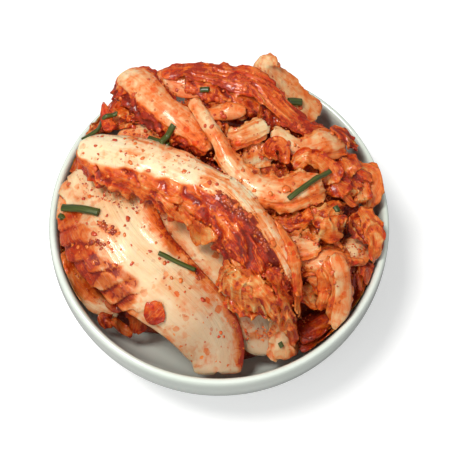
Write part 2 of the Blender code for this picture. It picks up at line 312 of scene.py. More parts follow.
# %% Leaf paths
def smooth_path(knots, step):
    """A Catmull-Rom curve through the knots, read at even steps of its length.

    Returns rows of x, y, z, half width, and the distance along the curve.
    """
    knots = np.array(knots, float)
    slopes = np.gradient(knots, axis=0)
    t = np.linspace(0.0, len(knots) - 1.0, 60 * len(knots))
    k = np.minimum(t.astype(int), len(knots) - 2)
    s = (t - k)[:, None]
    curve = ((2 * s**3 - 3 * s**2 + 1) * knots[k] + (s**3 - 2 * s**2 + s) * slopes[k]
             + (3 * s**2 - 2 * s**3) * knots[k + 1] + (s**3 - s**2) * slopes[k + 1])
    length = np.concatenate([[0.0], np.cumsum(np.linalg.norm(np.diff(curve[:, :3], axis=0),
                                                             axis=1))])
    count = max(int(length[-1] / step) + 1, 12)
    along = np.linspace(0.0, length[-1], count)
    rows = np.stack([np.interp(along, length, curve[:, c]) for c in range(4)], axis=1)
    return rows, along


def unit(vectors):
    """The same directions, with length one."""
    return vectors / np.maximum(np.linalg.norm(vectors, axis=-1, keepdims=True), 1e-9)


def grid_normals(points):
    """Upward normals of a grid: along its rows crossed with across them."""
    down_rows = np.gradient(points, axis=0)
    down_columns = np.gradient(points, axis=1)
    return unit(np.cross(down_columns, down_rows))


# %% Leaf surface
def crumple(a, across, seed, slant=0.40, spacing=4.6):
    """Height of a crumpled blade, about -1 to 1.

    Wet blade gathers in soft ropes with round backs and sharp creases between them, like
    the size of a sine.  They slant away from the midrib on both sides, as veins do; slant
    is the sine of that angle and spacing the width of a rope.  Slow noise bends them, so they run together and part, and their height comes and goes.
    Finer folds cross them, the more so the more they slant.
    """
    out = np.sqrt(across**2 + 1.0)
    straight = math.sqrt(1 - slant**2)
    crosswise = straight * out - slant * a
    lengthwise = slant * out + straight * a
    bend = spacing * (0.70 * noise(lengthwise / 13.0, crosswise / 8.0, seed)
                      + 0.20 * noise(lengthwise / 5.0, crosswise / 4.0, seed + 1))
    ropes = np.abs(np.sin(math.pi * (crosswise + bend) / spacing))
    strong = 0.7 + 0.8 * noise(lengthwise / 11.0, crosswise / 8.0, seed + 2)
    small = np.abs(noise((lengthwise - bend) / 4.4, (crosswise + bend) / 2.4, seed + 6))
    slow = layered(a / 13.0, across / 9.0, seed + 8, 2)
    return (0.43 * spacing * strong * (ropes - 0.6)
            + 2.2 * slant * (small - 0.3) + 1.1 * slow)


def pleats(a, v, u, size, spacing, last, seed):
    """Flat pleats that open towards the right edge, as far as u = last.

    Each pleat rises slowly and drops sharply on to the next one: the part of the line
    count after the whole number.
    """
    drift = spacing * (0.9 * noise(a / (2.2 * spacing), 0.3, seed)
                       + 0.3 * noise(a / (0.6 * spacing), 1.5 * v, seed + 2))
    lines = (a + 1.7 * spacing * v + drift) / spacing
    part = lines - np.floor(lines)
    grown = ramp(v, 0.10, 0.75) * (1 - ramp(u, last - 0.15, last + 0.1))
    profile = part**0.7 * (1 - ramp(part, 0.90, 1.0)) - 0.55
    return size * grown * profile * (1 + 0.6 * noise(np.floor(lines) * 1.7, 0.5, seed + 1))


def leaf_surface(path, falls, rib, wrinkle, frill, seed, step=0.7, ends=(6.0, 6.0),
                 rib_thick=3.0, blade_thick=0.7, pleat=None, ropes=(0.40, 4.6)):
    """Upper side, under side and attributes of one leaf, in millimetres.

    Across the leaf, v runs from -1 at its left edge to 1 at its right edge.  Each side is
    an arc of angle 2 atan(fall / half width); falls are those of the right and the left
    side, each one number or several along the leaf.  rib = (middle, half width) of the midrib in
    v, at the start and at the end of the path, or None.  ends are the lengths over which
    the two ends round off: short for a cut end, long for a leaf's tip.
    """
    rows, along = smooth_path(path, step)
    rounding = [np.clip(distance / size, 0.03, 1.0)
                for distance, size in ((along, ends[0]), (along[-1] - along, ends[1]))]
    taper = np.prod([np.sqrt(1 - (1 - r)**2) for r in rounding], axis=0)
    heading = unit(np.gradient(rows[:, :2], axis=0))
    side = np.stack([heading[:, 1], -heading[:, 0], np.zeros(len(rows))], axis=1)
    columns = max(int(2.2 * rows[:, 3].max() / step) + 1, 10)
    v = np.linspace(-1.0, 1.0, columns)[None, :]
    u = (along / along[-1])[:, None]
    a = along[:, None]
    if rib is None:
        from_rib = 9.0 * np.ones_like(u * v)
    else:
        middle = rib[0][0] + (rib[1][0] - rib[0][0]) * u
        half = rib[0][1] + (rib[1][1] - rib[0][1]) * u
        from_rib = np.abs(v - middle) / half + 0.12 * noise(a / 8.0, np.sign(v - middle), seed)
    ribbed = 1.0 - ramp(from_rib, 0.7, 1.1)
    blade = 1.0 - ribbed

    outline = 1.0 + blade * 0.26 * layered(a / 6.0, np.sign(v) * 7.3, seed, 3)
    width = (rows[:, 3] * taper)[:, None] * outline
    right_fall, left_fall = [np.interp(u, np.linspace(0.0, 1.0, np.size(fall)), np.ravel(fall))
                             for fall in falls]
    fall = np.minimum(np.where(v > 0, right_fall, left_fall), 0.95 * width)
    angle = 2 * np.arctan2(fall, width)
    radius = width / np.sin(angle)
    turn = angle * np.abs(v)
    across = width * v
    points = rows[:, None, :3] + side[:, None, :] * (np.sign(v) * radius * np.sin(turn))[..., None]
    points[..., 2] -= radius * (1 - np.cos(turn))

    grooves = 0.22 * noise(across / 1.9 + 0.4 * noise(a / 30, v, seed + 1), a / 45, seed + 2)
    swell = 0.9 * layered(a / 16, across / 12, seed + 3, 2)
    edge = np.abs(v)**2
    waves = noise((a + 0.4 * np.abs(across)) / 3.6, np.sign(v) * 3.1 + across / 9, seed + 12)
    bulge = 1.2 * np.sqrt(np.clip(1.0 - from_rib**2, 0.0, 1.0))
    relief = (ribbed * (grooves + 0.25 * swell) + bulge
              + blade * (0.8 * swell + wrinkle * crumple(a, across, seed + 5, *ropes))
              + blade * edge * np.where(v > 0, frill[0], frill[1]) * waves)
    if pleat is not None:
        relief = relief + pleats(a, v, u, *pleat, seed + 20)
    points = points + grid_normals(points) * relief[..., None]

    lean_along = np.gradient(relief, axis=0) / step
    lean_across = np.gradient(relief, axis=1) / np.maximum(np.gradient(across, axis=1), 0.2)
    ahead = np.concatenate([heading, np.zeros((len(rows), 1))], axis=1)[:, None, :]
    push = 0.6 * blade[..., None]
    points = points + push * (ahead * np.tanh(blur(lean_along))[..., None]
                              + side[:, None, :] * np.tanh(blur(lean_across))[..., None])

    thick = blade_thick + (rib_thick - blade_thick) * blur(ribbed, 2)
    thick = thick * (1 - 0.5 * np.abs(v)**8)
    under = points - grid_normals(points) * thick[..., None]
    height = relief - blur(relief, 24) - bulge + blur(bulge, 24)
    look = np.stack([ribbed, np.clip(height / 2.4 + 0.5, 0, 1),
                     0.5 + 0.5 * v * np.ones_like(ribbed)], axis=-1)
    flow = np.stack([(a + 37.0 * seed) * np.ones_like(across), across, u * np.ones_like(across)], axis=-1)
    return points, under, look, flow


def settle(heights, points, under, quiet=False, stiffness=14):
    """Lifts a leaf clear of the map and, unless quiet, adds it to the map.

    The stiffer the leaf, the more evenly it is lifted and the less it follows what is
    under it.
    """
    need = spread(heights)[cell_of(under)] + GAP - under[..., 2]
    need = np.maximum(need, 0.0)
    lift = need
    for _ in range(stiffness):
        lift = np.maximum(need, blur(lift, 2))
    points[..., 2] += lift
    under[..., 2] += lift
    if not quiet:
        stamp(heights, points)
    return lift.max()


print("leaf functions ready")

# %% [markdown]
# ## Finishes
#
# All leaves share one stain: cream or peach flesh on the midrib, orange to dark red on the
# thin blade, streaks that follow the fibres, a scatter of chilli specks with orange halos,
# and paste that gathers in the hollows, which also paints shade into them.  What lies low in
# the bowl is darker, partly soaked and partly painted shade.  It is a node group, so each
# kind of leaf can be given its own redness, and it puts out colour, height and roughness
# for a wet shader.

# %% Node helpers
def add_node(tree, kind, inputs=None, **settings):
    """A node with its settings and its inputs: a socket is linked, a value is stored."""
    new = tree.nodes.new(kind)
    for key, value in settings.items():
        setattr(new, key, value)
    for socket, value in (inputs or {}).items():
        if isinstance(value, bpy.types.NodeSocket):
            tree.links.new(value, new.inputs[socket])
        else:
            new.inputs[socket].default_value = value
    return new


def calculate(tree, operation, *values, clamp=False):
    """The result of a Math node."""
    return add_node(tree, "ShaderNodeMath", dict(enumerate(values)), operation=operation,
                    use_clamp=clamp).outputs[0]


def step_between(tree, value, start, end, low=0.0, high=1.0):
    """A smooth step from low to high as the value goes from start to end."""
    return add_node(tree, "ShaderNodeMapRange", {0: value, 1: start, 2: end, 3: low, 4: high},
                    interpolation_type="SMOOTHSTEP").outputs[0]


def blend(tree, share, first, second, how="MIX"):
    """Colour mix: the first where share is 0, the second (or their product) where it is 1."""
    mix = add_node(tree, "ShaderNodeMix", {0: share, 6: first, 7: second}, data_type="RGBA",
                   blend_type=how)
    return mix.outputs[2]


def cloud(tree, vector, scale, detail=3.0, roughness=0.55, distortion=0.0):
    """Noise texture value, about 0.2 to 0.8."""
    return add_node(tree, "ShaderNodeTexNoise",
                    {"Vector": vector, "Scale": scale, "Detail": detail,
                     "Roughness": roughness, "Distortion": distortion}).outputs["Fac"]


def new_group(name, inputs, outputs):
    """An empty node group with named sockets, and its input and output nodes."""
    group = bpy.data.node_groups.new(name, "ShaderNodeTree")
    for label, kind, value in inputs:
        socket = group.interface.new_socket(label, in_out="INPUT", socket_type=kind)
        if value is not None:
            socket.default_value = value
    for label, kind in outputs:
        group.interface.new_socket(label, in_out="OUTPUT", socket_type=kind)
    return group, group.nodes.new("NodeGroupInput"), group.nodes.new("NodeGroupOutput")


CREAM = (0.97, 0.78, 0.49, 1.0)
PINK_CREAM = (0.88, 0.48, 0.22, 1.0)
BLADE = (0.88, 0.46, 0.17, 1.0)
GOLD = (0.88, 0.42, 0.06, 1.0)
OIL = (0.97, 0.36, 0.105, 1.0)           # what an orange oil film lets through
RED_OIL = (0.68, 0.26, 0.12, 1.0)
PASTE = (0.36, 0.026, 0.008, 1.0)
DARK_PASTE = (0.15, 0.010, 0.005, 1.0)
print("node helpers ready")

# %% Specks, a shared effect
specks, given, result = new_group(
    "chilli_specks",
    [("Vector", "NodeSocketVector", None), ("Per Metre", "NodeSocketFloat", 400.0),
     ("Size", "NodeSocketFloat", 0.25), ("Share", "NodeSocketFloat", 0.5)],
    [("Mask", "NodeSocketFloat"), ("Tone", "NodeSocketFloat")])
cells = add_node(specks, "ShaderNodeTexVoronoi",
                 {"Vector": given.outputs["Vector"], "Scale": given.outputs["Per Metre"]})
picked = add_node(specks, "ShaderNodeSeparateColor", {0: cells.outputs["Color"]})
chosen = calculate(specks, "LESS_THAN", picked.outputs[0], given.outputs["Share"])
reach = calculate(specks, "MULTIPLY", given.outputs["Size"],
                  calculate(specks, "MULTIPLY_ADD", picked.outputs[1], 0.9, 0.35))
inside = calculate(specks, "SUBTRACT", reach, cells.outputs["Distance"])
edge = step_between(specks, inside, 0.0, 0.06)
specks.links.new(calculate(specks, "MULTIPLY", edge, chosen), result.inputs["Mask"])
specks.links.new(picked.outputs[2], result.inputs["Tone"])

# %% Leaf stain, a shared effect
stain, given, result = new_group(
    "leaf_stain",
    [("Vector", "NodeSocketVector", None), ("Look", "NodeSocketVector", None),
     ("Flow", "NodeSocketVector", None), ("Redness", "NodeSocketFloat", 0.5),
     ("Rib Oil", "NodeSocketFloat", 0.1), ("Tip Stain", "NodeSocketFloat", 0.0),
     ("Right Stain", "NodeSocketFloat", 0.0), ("Left Stain", "NodeSocketFloat", 0.0),
     ("Tip Grey", "NodeSocketFloat", 0.0),
     ("Streaks", "NodeSocketFloat", 1.0),
     ("Rib Warmth", "NodeSocketFloat", 0.3), ("Speck Share", "NodeSocketFloat", 0.4)],
    [("Color", "NodeSocketColor"), ("Height", "NodeSocketFloat"),
     ("Roughness", "NodeSocketFloat")])


def amount(value, scale, shift):
    """value x scale + shift, inside the stain group."""
    return calculate(stain, "MULTIPLY_ADD", value, scale, shift)


def plus(*values):
    """The sum of several values, inside the stain group."""
    total = values[0]
    for value in values[1:]:
        total = calculate(stain, "ADD", total, value)
    return total


place = given.outputs["Vector"]
look = add_node(stain, "ShaderNodeSeparateXYZ", {0: given.outputs["Look"]})
rib_mask, relief_mask, sideways = look.outputs
edge_mask = calculate(stain, "POWER", calculate(
    stain, "ABSOLUTE", amount(sideways, 2.0, -1.0)), 2.0)
stretched = add_node(stain, "ShaderNodeVectorMath",
                     {0: given.outputs["Flow"], 1: (0.035, 0.60, 0.0)}, operation="MULTIPLY")
fibres = cloud(stain, stretched.outputs[0], 1.0, 4.0, 0.6, 0.5)
fine_stretch = add_node(stain, "ShaderNodeVectorMath",
                        {0: given.outputs["Flow"], 1: (0.10, 2.2, 0.0)}, operation="MULTIPLY")
fine_fibres = cloud(stain, fine_stretch.outputs[0], 1.0, 2.0, 0.5, 0.3)
patches = cloud(stain, place, 60.0, 3.0, 0.55, 0.6)
mottle = cloud(stain, place, 230.0, 3.0, 0.6, 0.8)
grain = cloud(stain, place, 900.0, 2.0, 0.6, 0.0)

# where paste was smeared on, oil soaked in or shade is painted: a line from x, y to x, y
# and its reach, in metres, then how much oil, paste and soak it adds; the soak darkening
# is partly soaking and partly painted shade on the big leaf's shaded left side
STAIN_AND_SHADE_LINES = [
    ((0.001, -0.002), (0.014, -0.014), 0.0028, 0.35, 0.80, 0.0),
    ((0.017, -0.019), (0.026, -0.032), 0.0022, 0.35, 0.60, 0.0),
    ((-0.055, -0.008), (-0.048, -0.013), 0.0032, 0.40, 0.70, 0.0),
    ((-0.012, -0.028), (-0.008, -0.033), 0.0026, 0.40, 0.50, 0.0),
    ((-0.066, -0.006), (-0.062, -0.030), 0.0100, 0.45, 0.08, 0.55),
    ((-0.064, 0.004), (-0.058, -0.018), 0.0050, 0.35, 0.30, 0.30),
    ((-0.057, -0.024), (-0.038, -0.036), 0.0024, 0.50, 0.72, 0.60),
    ((-0.056, -0.032), (-0.042, -0.041), 0.0040, 0.40, 0.25, 0.85)]
flat_place = add_node(stain, "ShaderNodeVectorMath", {0: place, 1: (1.0, 1.0, 0.0)},
                      operation="MULTIPLY").outputs[0]
line_oil, line_paste, line_soak_and_shade = 0.0, 0.0, 0.0
for start, stop, reach, oil, paste, soak_and_shade in STAIN_AND_SHADE_LINES:
    run = (stop[0] - start[0], stop[1] - start[1], 0.0)
    per_run = 1.0 / (run[0]**2 + run[1]**2)
    away = add_node(stain, "ShaderNodeVectorMath", {0: flat_place, 1: (*start, 0.0)},
                    operation="SUBTRACT").outputs[0]
    along = add_node(stain, "ShaderNodeVectorMath", {0: away, 1: run},
                     operation="DOT_PRODUCT").outputs["Value"]
    share = calculate(stain, "MULTIPLY", along, per_run, clamp=True)
    foot = add_node(stain, "ShaderNodeVectorMath", {0: run, 3: share}, operation="SCALE")
    distance = add_node(stain, "ShaderNodeVectorMath", {0: away, 1: foot.outputs[0]},
                        operation="DISTANCE").outputs["Value"]
    near = step_between(stain, distance, 1.5 * reach, 0.3 * reach)
    line_oil = calculate(stain, "MAXIMUM", line_oil, amount(near, oil, 0.0))
    line_paste = calculate(stain, "MAXIMUM", line_paste, amount(near, paste, 0.0))
    line_soak_and_shade = calculate(stain, "MAXIMUM", line_soak_and_shade, amount(near, soak_and_shade, 0.0))

border = plus(rib_mask, amount(fibres, 0.8, -0.4), amount(mottle, 0.4, -0.2))
on_rib = step_between(stain, border, 0.25, 0.85)
warmth = plus(given.outputs["Rib Warmth"], amount(patches, 1.6, -0.8),
              amount(fibres, 0.5, -0.25))
rib_flesh = blend(stain, step_between(stain, warmth, 0.0, 0.8), CREAM, PINK_CREAM)
along_leaf = add_node(stain, "ShaderNodeSeparateXYZ", {0: given.outputs["Flow"]}).outputs[2]
greyed = calculate(stain, "MULTIPLY", given.outputs["Tip Grey"],
                   step_between(stain, along_leaf, 0.50, 0.90))
rib_flesh = blend(stain, greyed, rib_flesh, (0.60, 0.48, 0.32, 1.0))
frill = calculate(stain, "MULTIPLY", step_between(stain, edge_mask, 0.35, 0.9),
                  step_between(stain, mottle, 0.40, 0.60))
blade_flesh = blend(stain, frill, BLADE, GOLD)
flesh = blend(stain, on_rib, blade_flesh, rib_flesh)

# oil: everywhere on the blade, washed along the fibres on the rib
leafy = calculate(stain, "SUBTRACT", 1.0, on_rib)
streaks = step_between(stain, plus(amount(fibres, 0.5, 0.0), amount(fine_fibres, 0.5, 0.0)),
                       0.46, 0.66)
at_tip = calculate(stain, "MULTIPLY", given.outputs["Tip Stain"],
                   step_between(stain, along_leaf, 0.30, 0.80))
upstream = calculate(stain, "MULTIPLY", step_between(stain, along_leaf, 0.66, 0.50),
                     step_between(stain, along_leaf, 0.12, 0.36, 0.35, 1.0))
on_right = calculate(stain, "MULTIPLY", step_between(stain, sideways, 0.60, 0.95), upstream)
red_base = plus(calculate(stain, "MULTIPLY", given.outputs["Redness"], leafy),
                calculate(stain, "MULTIPLY", given.outputs["Rib Oil"], on_rib),
                calculate(stain, "MULTIPLY", at_tip, amount(streaks, 0.80, 0.20)),
                calculate(stain, "MULTIPLY", given.outputs["Right Stain"], on_right),
                calculate(stain, "MULTIPLY", given.outputs["Left Stain"],
                          step_between(stain, sideways, 0.22, 0.0)),
                amount(edge_mask, 0.18, -0.02))
# oil rises in the hollows of the relief and thins on its crests: partly oil, partly painted shade
oil_level = plus(red_base,
                 amount(patches, 1.3, -0.65), amount(mottle, 1.3, -0.65),
                 calculate(stain, "MULTIPLY", calculate(
                     stain, "MULTIPLY", given.outputs["Streaks"], amount(leafy, 0.55, 0.35)),
                           plus(amount(fibres, 0.9, -0.45), amount(fine_fibres, 0.6, -0.30))),
                 amount(leafy, 0.16, 0.0), amount(relief_mask, -0.8, 0.4), line_oil)
oiled = blend(stain, step_between(stain, oil_level, -0.05, 0.55), flesh, OIL, "MULTIPLY")
oiled = blend(stain, step_between(stain, oil_level, 0.42, 0.92), oiled, RED_OIL, "MULTIPLY")

# paste: in the creases and in blots, dark where it is thick; the paste in the creases is
# partly painted shade
rib_end = calculate(stain, "MULTIPLY", on_rib, step_between(stain, along_leaf, 0.60, 0.80))
crease_paste_and_shade = calculate(stain, "MULTIPLY", step_between(stain, relief_mask, 0.42, 0.10),
                    amount(rib_end, -0.75, 1.0))
paste_level = plus(red_base, amount(leafy, 0.05, -0.02),
                   amount(crease_paste_and_shade, 0.60, 0.0), amount(patches, 1.1, -0.55),
                   amount(mottle, 1.7, -0.85), amount(grain, 0.8, -0.4), line_paste)
pasted = step_between(stain, paste_level, 0.70, 0.90)
paste_colour = blend(stain, step_between(stain, paste_level, 1.00, 1.45), PASTE, DARK_PASTE)
pale_veins = calculate(stain, "MULTIPLY", step_between(stain, fine_fibres, 0.54, 0.70), 0.30)
oiled = blend(stain, pale_veins, oiled, flesh)
colour = blend(stain, calculate(stain, "MULTIPLY", pasted, 0.88), oiled, paste_colour)

# what lies low in the bowl is darker: partly soaked through, partly painted shade where
# the heap shades it
up = add_node(stain, "ShaderNodeSeparateXYZ", {0: place}).outputs[2]
soaked_and_shade = calculate(stain, "MAXIMUM", line_soak_and_shade, calculate(
    stain, "MULTIPLY", step_between(stain, up, 0.068, 0.052), amount(leafy, 0.60, 0.40)))
colour = blend(stain, soaked_and_shade, colour, (0.56, 0.46, 0.42, 1.0), "MULTIPLY")

shaken = add_node(stain, "ShaderNodeTexNoise", {"Vector": place, "Scale": 420.0, "Detail": 2.0})
offset = add_node(stain, "ShaderNodeVectorMath",
                  {0: shaken.outputs["Color"], 1: (0.0028, 0.0028, 0.0028)},
                  operation="MULTIPLY")
jagged = add_node(stain, "ShaderNodeVectorMath", {0: place, 1: offset.outputs[0]},
                  operation="ADD").outputs[0]


def speckle(per_metre, size):
    """Mask and tone of one size of specks."""
    node = add_node(stain, "ShaderNodeGroup", node_tree=specks)
    stain.links.new(jagged, node.inputs["Vector"])
    stain.links.new(given.outputs["Speck Share"], node.inputs["Share"])
    node.inputs["Per Metre"].default_value = per_metre
    node.inputs["Size"].default_value = size
    return node.outputs["Mask"], node.outputs["Tone"]


crowded = step_between(stain, patches, 0.40, 0.62, 0.25, 1.0)
halo_mask, halo_tone = speckle(210.0, 0.36)
colour = blend(stain, calculate(stain, "MULTIPLY", halo_mask, amount(crowded, 0.7, 0.2)),
               colour, OIL, "MULTIPLY")
fleck_mask, fleck_tone = speckle(420.0, 0.34)
fleck_colour = blend(stain, fleck_tone, (0.80, 0.20, 0.02, 1.0), (0.48, 0.05, 0.010, 1.0))
flecked = calculate(stain, "MULTIPLY", fleck_mask, crowded)
colour = blend(stain, flecked, colour, fleck_colour)
stain.links.new(colour, result.inputs["Color"])

pillows = add_node(stain, "ShaderNodeTexVoronoi", {"Vector": jagged, "Scale": 480.0,
                                                   "Smoothness": 0.35}, feature="SMOOTH_F1")
veined = calculate(stain, "MULTIPLY", leafy, amount(pillows.outputs["Distance"], -0.6, 0.3))
height = plus(veined, amount(fine_fibres, 0.55, 0.0), amount(grain, 0.10, 0.0),
              amount(flecked, 0.35, 0.0), amount(pasted, 0.30, 0.0))
stain.links.new(height, result.inputs["Height"])
stain.links.new(step_between(stain, mottle, 0.3, 0.7, 0.20, 0.42), result.inputs["Roughness"])
print("leaf stain has", len(stain.nodes), "nodes")


# %% Wet leaf materials
def wet_leaf(name, redness, rib_oil, rib_warmth, speck_share, tip_stain=0.0, sides=(0.0, 0.0),
             tip_grey=0.0, streaks=1.0):
    """A wet cabbage material: the shared stain on a translucent, glossy skin."""
    material = bpy.data.materials.new(name)
    material.use_nodes = True
    tree = material.node_tree
    shader = tree.nodes["Principled BSDF"]
    where = add_node(tree, "ShaderNodeTexCoord").outputs["Object"]
    seen = add_node(tree, "ShaderNodeAttribute", attribute_name="look").outputs["Vector"]
    flow = add_node(tree, "ShaderNodeAttribute", attribute_name="flow").outputs["Vector"]
    group = add_node(tree, "ShaderNodeGroup", {}, node_tree=stain)
    for label, value in (("Vector", where), ("Look", seen), ("Flow", flow)):
        tree.links.new(value, group.inputs[label])
    group.inputs["Redness"].default_value = redness
    group.inputs["Rib Oil"].default_value = rib_oil
    group.inputs["Tip Stain"].default_value = tip_stain
    group.inputs["Right Stain"].default_value = sides[0]
    group.inputs["Left Stain"].default_value = sides[1]
    group.inputs["Tip Grey"].default_value = tip_grey
    group.inputs["Streaks"].default_value = streaks
    group.inputs["Rib Warmth"].default_value = rib_warmth
    group.inputs["Speck Share"].default_value = speck_share
    bump = add_node(tree, "ShaderNodeBump", {"Height": group.outputs["Height"],
                                             "Strength": 0.6, "Distance": 0.0006})
    tree.links.new(group.outputs["Color"], shader.inputs["Base Color"])
    tree.links.new(group.outputs["Roughness"], shader.inputs["Roughness"])
    tree.links.new(bump.outputs[0], shader.inputs["Normal"])
    shader.inputs["Subsurface Weight"].default_value = 0.40
    shader.inputs["Subsurface Radius"].default_value = (1.0, 0.45, 0.25)
    shader.inputs["Subsurface Scale"].default_value = 0.0030
    shader.inputs["Specular IOR Level"].default_value = 0.35
    shader.inputs["Coat Weight"].default_value = 0.30
    shader.inputs["Coat Roughness"].default_value = 0.08
    shader.inputs["IOR"].default_value = 1.33
    return material


top_skin = wet_leaf("top_skin", 0.50, 0.04, 0.15, 0.35, 0.78, streaks=1.3)
clean_leaf = wet_leaf("clean_leaf", 0.30, -0.04, 0.50, 0.30, 0.0, (0.52, 0.70), 0.75)
pale_rib = wet_leaf("pale_rib", 0.30, 0.20, 0.55, 0.30, streaks=1.8)
rolled_skin = wet_leaf("rolled_skin", 0.54, 0.27, 0.60, 0.40, 0.2, (0.66, 0.2), streaks=1.4)
white_leaf = wet_leaf("white_leaf", 0.42, 0.26, 0.70, 0.40, streaks=1.8)
peach_leaf = wet_leaf("peach_leaf", 0.42, 0.40, 0.90, 0.40, streaks=1.7)
gold_leaf = wet_leaf("gold_leaf", 0.34, 0.36, 0.90, 0.30, streaks=1.3)
red_leaf = wet_leaf("red_leaf", 0.58, 0.56, 1.1, 0.40, streaks=1.6)
dark_leaf = wet_leaf("dark_leaf", 0.82, 0.80, 1.2, 0.30)
veiny_leaf = wet_leaf("veiny_leaf", 0.66, 0.58, 0.9, 0.35, streaks=2.4)
print("leaf materials ready")

# %% [markdown]
# ## The bowl
#
# The bowl is thrown and turned, so it is one profile carried round the axis.  The profile
# repeats the frame's walls, with the lip and the foot rounded.  Its glaze is a pale
# greyish celadon, a little lighter and darker in soft patches, with faint oily smears
# inside where the food has been.

# %% Turned bowl
WALL = [(0.0, 11.0), (30.0, 11.6), (50.0, 14.8), (60.0, 19.2), (67.5, 26.5), (72.5, 35.5),
        (75.6, 47.0), (76.9, 57.5), (77.6, 59.3), (78.7, 60.0), (79.5, 59.7), (80.0, 58.6),
        (81.0, 52.0), (81.3, 45.0), (80.6, 37.5), (78.0, 30.0), (72.5, 21.5), (64.0, 15.0),
        (53.0, 10.0), (44.0, 7.0), (41.6, 3.0), (41.0, 0.4), (40.4, 0.0), (36.6, 0.0),
        (36.0, 0.5), (34.5, 3.0), (0.0, 4.0)]


def turned(profile, around, samples):
    """A closed skin of revolution: the profile, smoothed, carried round the axis.

    radius and height are read along the profile by the same rounded curve, and the two
    ends lie on the axis, where each ring closes to one point.
    """
    profile = np.array(profile)
    length = np.concatenate([[0.0], np.cumsum(np.linalg.norm(np.diff(profile, axis=0), axis=1))])
    slopes = np.gradient(profile, length, axis=0)
    t = np.linspace(0.0, length[-1], samples)
    k = np.clip(np.searchsorted(length, t, side="right") - 1, 0, len(profile) - 2)
    h = (length[k + 1] - length[k])[:, None]
    s = (t - length[k])[:, None] / h
    curve = ((2 * s**3 - 3 * s**2 + 1) * profile[k] + (s**3 - 2 * s**2 + s) * h * slopes[k]
             + (3 * s**2 - 2 * s**3) * profile[k + 1] + (s**3 - s**2) * h * slopes[k + 1])
    curve[0, 0] = curve[-1, 0] = 0.0
    curve[:, 0] = np.clip(curve[:, 0], 0.0, 81.3)
    curve[:, 1] = np.clip(curve[:, 1], 0.0, 60.0)
    angle = np.linspace(0.0, math.tau, around, endpoint=False)
    ring = curve[1:-1]
    points = np.stack([ring[:, None, 0] * np.cos(angle), ring[:, None, 0] * np.sin(angle),
                       np.broadcast_to(ring[:, None, 1], (len(ring), around))], axis=-1)
    return curve, points.reshape(-1, 3)


def bowl_mesh(material):
    """The turned bowl as an object: rings of quads, and a fan at each end of the profile."""
    around, samples = 160, 130
    curve, points = turned(WALL, around, samples)
    rings = len(points) // around
    index = np.arange(rings * around).reshape(rings, around)
    beside = np.roll(index, -1, axis=1)
    quads = np.stack([index[:-1], index[1:], beside[1:], beside[:-1]], axis=-1).reshape(-1, 4)
    ends = np.array([[0.0, 0.0, curve[0, 1]], [0.0, 0.0, curve[-1, 1]]])
    first, last = len(points), len(points) + 1
    fan_in = np.stack([np.full(around, first), index[0], beside[0]], axis=1)
    fan_out = np.stack([np.full(around, last), beside[-1], index[-1]], axis=1)
    mesh = bpy.data.meshes.new("bowl_body")
    faces = quads.tolist() + fan_in.tolist() + fan_out.tolist()
    mesh.from_pydata((np.concatenate([points, ends]) * MM).tolist(), [], faces)
    mesh.shade_smooth()
    mesh.materials.append(material)
    piece = bpy.data.objects.new("bowl_body", mesh)
    bpy.context.scene.collection.objects.link(piece)
    return piece


glaze = bpy.data.materials.new("celadon_glaze")
glaze.use_nodes = True
tree = glaze.node_tree
shader = tree.nodes["Principled BSDF"]
where = add_node(tree, "ShaderNodeTexCoord").outputs["Object"]
pooling = cloud(tree, where, 28.0, 2.0)
glaze_colour = blend(tree, step_between(tree, pooling, 0.3, 0.7), (0.80, 0.88, 0.78, 1.0),
                     (0.86, 0.92, 0.83, 1.0))
# oily smears on the inside, just past the food: centre and reach in metres
SMEARS = [((0.021, -0.0705, 0.050), 0.009), ((0.040, -0.0625, 0.050), 0.010),
          ((0.010, -0.0735, 0.048), 0.007), ((-0.0745, -0.005, 0.052), 0.012),
          ((0.0735, 0.020, 0.052), 0.008), ((0.066, -0.036, 0.050), 0.009)]
smear = cloud(tree, where, 160.0, 3.0, 0.6, 1.2)
for centre, reach in SMEARS:
    away = add_node(tree, "ShaderNodeVectorMath", {0: where, 1: centre}, operation="DISTANCE")
    near = step_between(tree, away.outputs["Value"], reach, 0.2 * reach)
    oily = step_between(tree, calculate(tree, "MULTIPLY", near, smear), 0.30, 0.45)
    glaze_colour = blend(tree, calculate(tree, "MULTIPLY", oily, 0.7), glaze_colour,
                         (0.62, 0.27, 0.10, 1.0), "MULTIPLY")
tree.links.new(glaze_colour, shader.inputs["Base Color"])
tree.links.new(step_between(tree, pooling, 0.2, 0.8, 0.10, 0.20), shader.inputs["Roughness"])
shader.inputs["Coat Weight"].default_value = 0.5
shader.inputs["Coat Roughness"].default_value = 0.05
shader.inputs["IOR"].default_value = 1.5

bowl = bowl_mesh(glaze)
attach(bowl, "root")
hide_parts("bowl")
print("bowl:", len(bowl.data.polygons), "faces")

# %% Floor finish
paper = bpy.data.materials.new("white_floor")
paper.use_nodes = True
tree = paper.node_tree
shader = tree.nodes["Principled BSDF"]
# the eye sees a bright floor, but it throws only a little light up at the bowl
seen_directly = add_node(tree, "ShaderNodeLightPath").outputs["Is Camera Ray"]
tree.links.new(blend(tree, seen_directly, (0.40, 0.40, 0.40, 1.0), (0.90, 0.90, 0.90, 1.0)),
               shader.inputs["Base Color"])
tree.links.new(blend(tree, seen_directly, (0.0, 0.0, 0.0, 1.0), (0.30, 0.30, 0.30, 1.0)),
               shader.inputs["Emission Color"])
shader.inputs["Emission Strength"].default_value = 1.0
shader.inputs["Roughness"].default_value = 0.9
floor_mesh.materials.append(paper)

# %% [markdown]
# ## The heart of the heap
#
# Under the leaves that show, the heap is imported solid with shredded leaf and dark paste.
# It is one closed form: its top follows the frame's core a little lower, its edge meets
# the bowl's wall, and its underside rests just clear of the bowl.

# %% Core
def wall_height(radius):
    """Height of the bowl's inside at a distance from its axis."""
    inner = np.array(WALL[:9])
    return np.interp(radius, inner[:, 0], inner[:, 1])


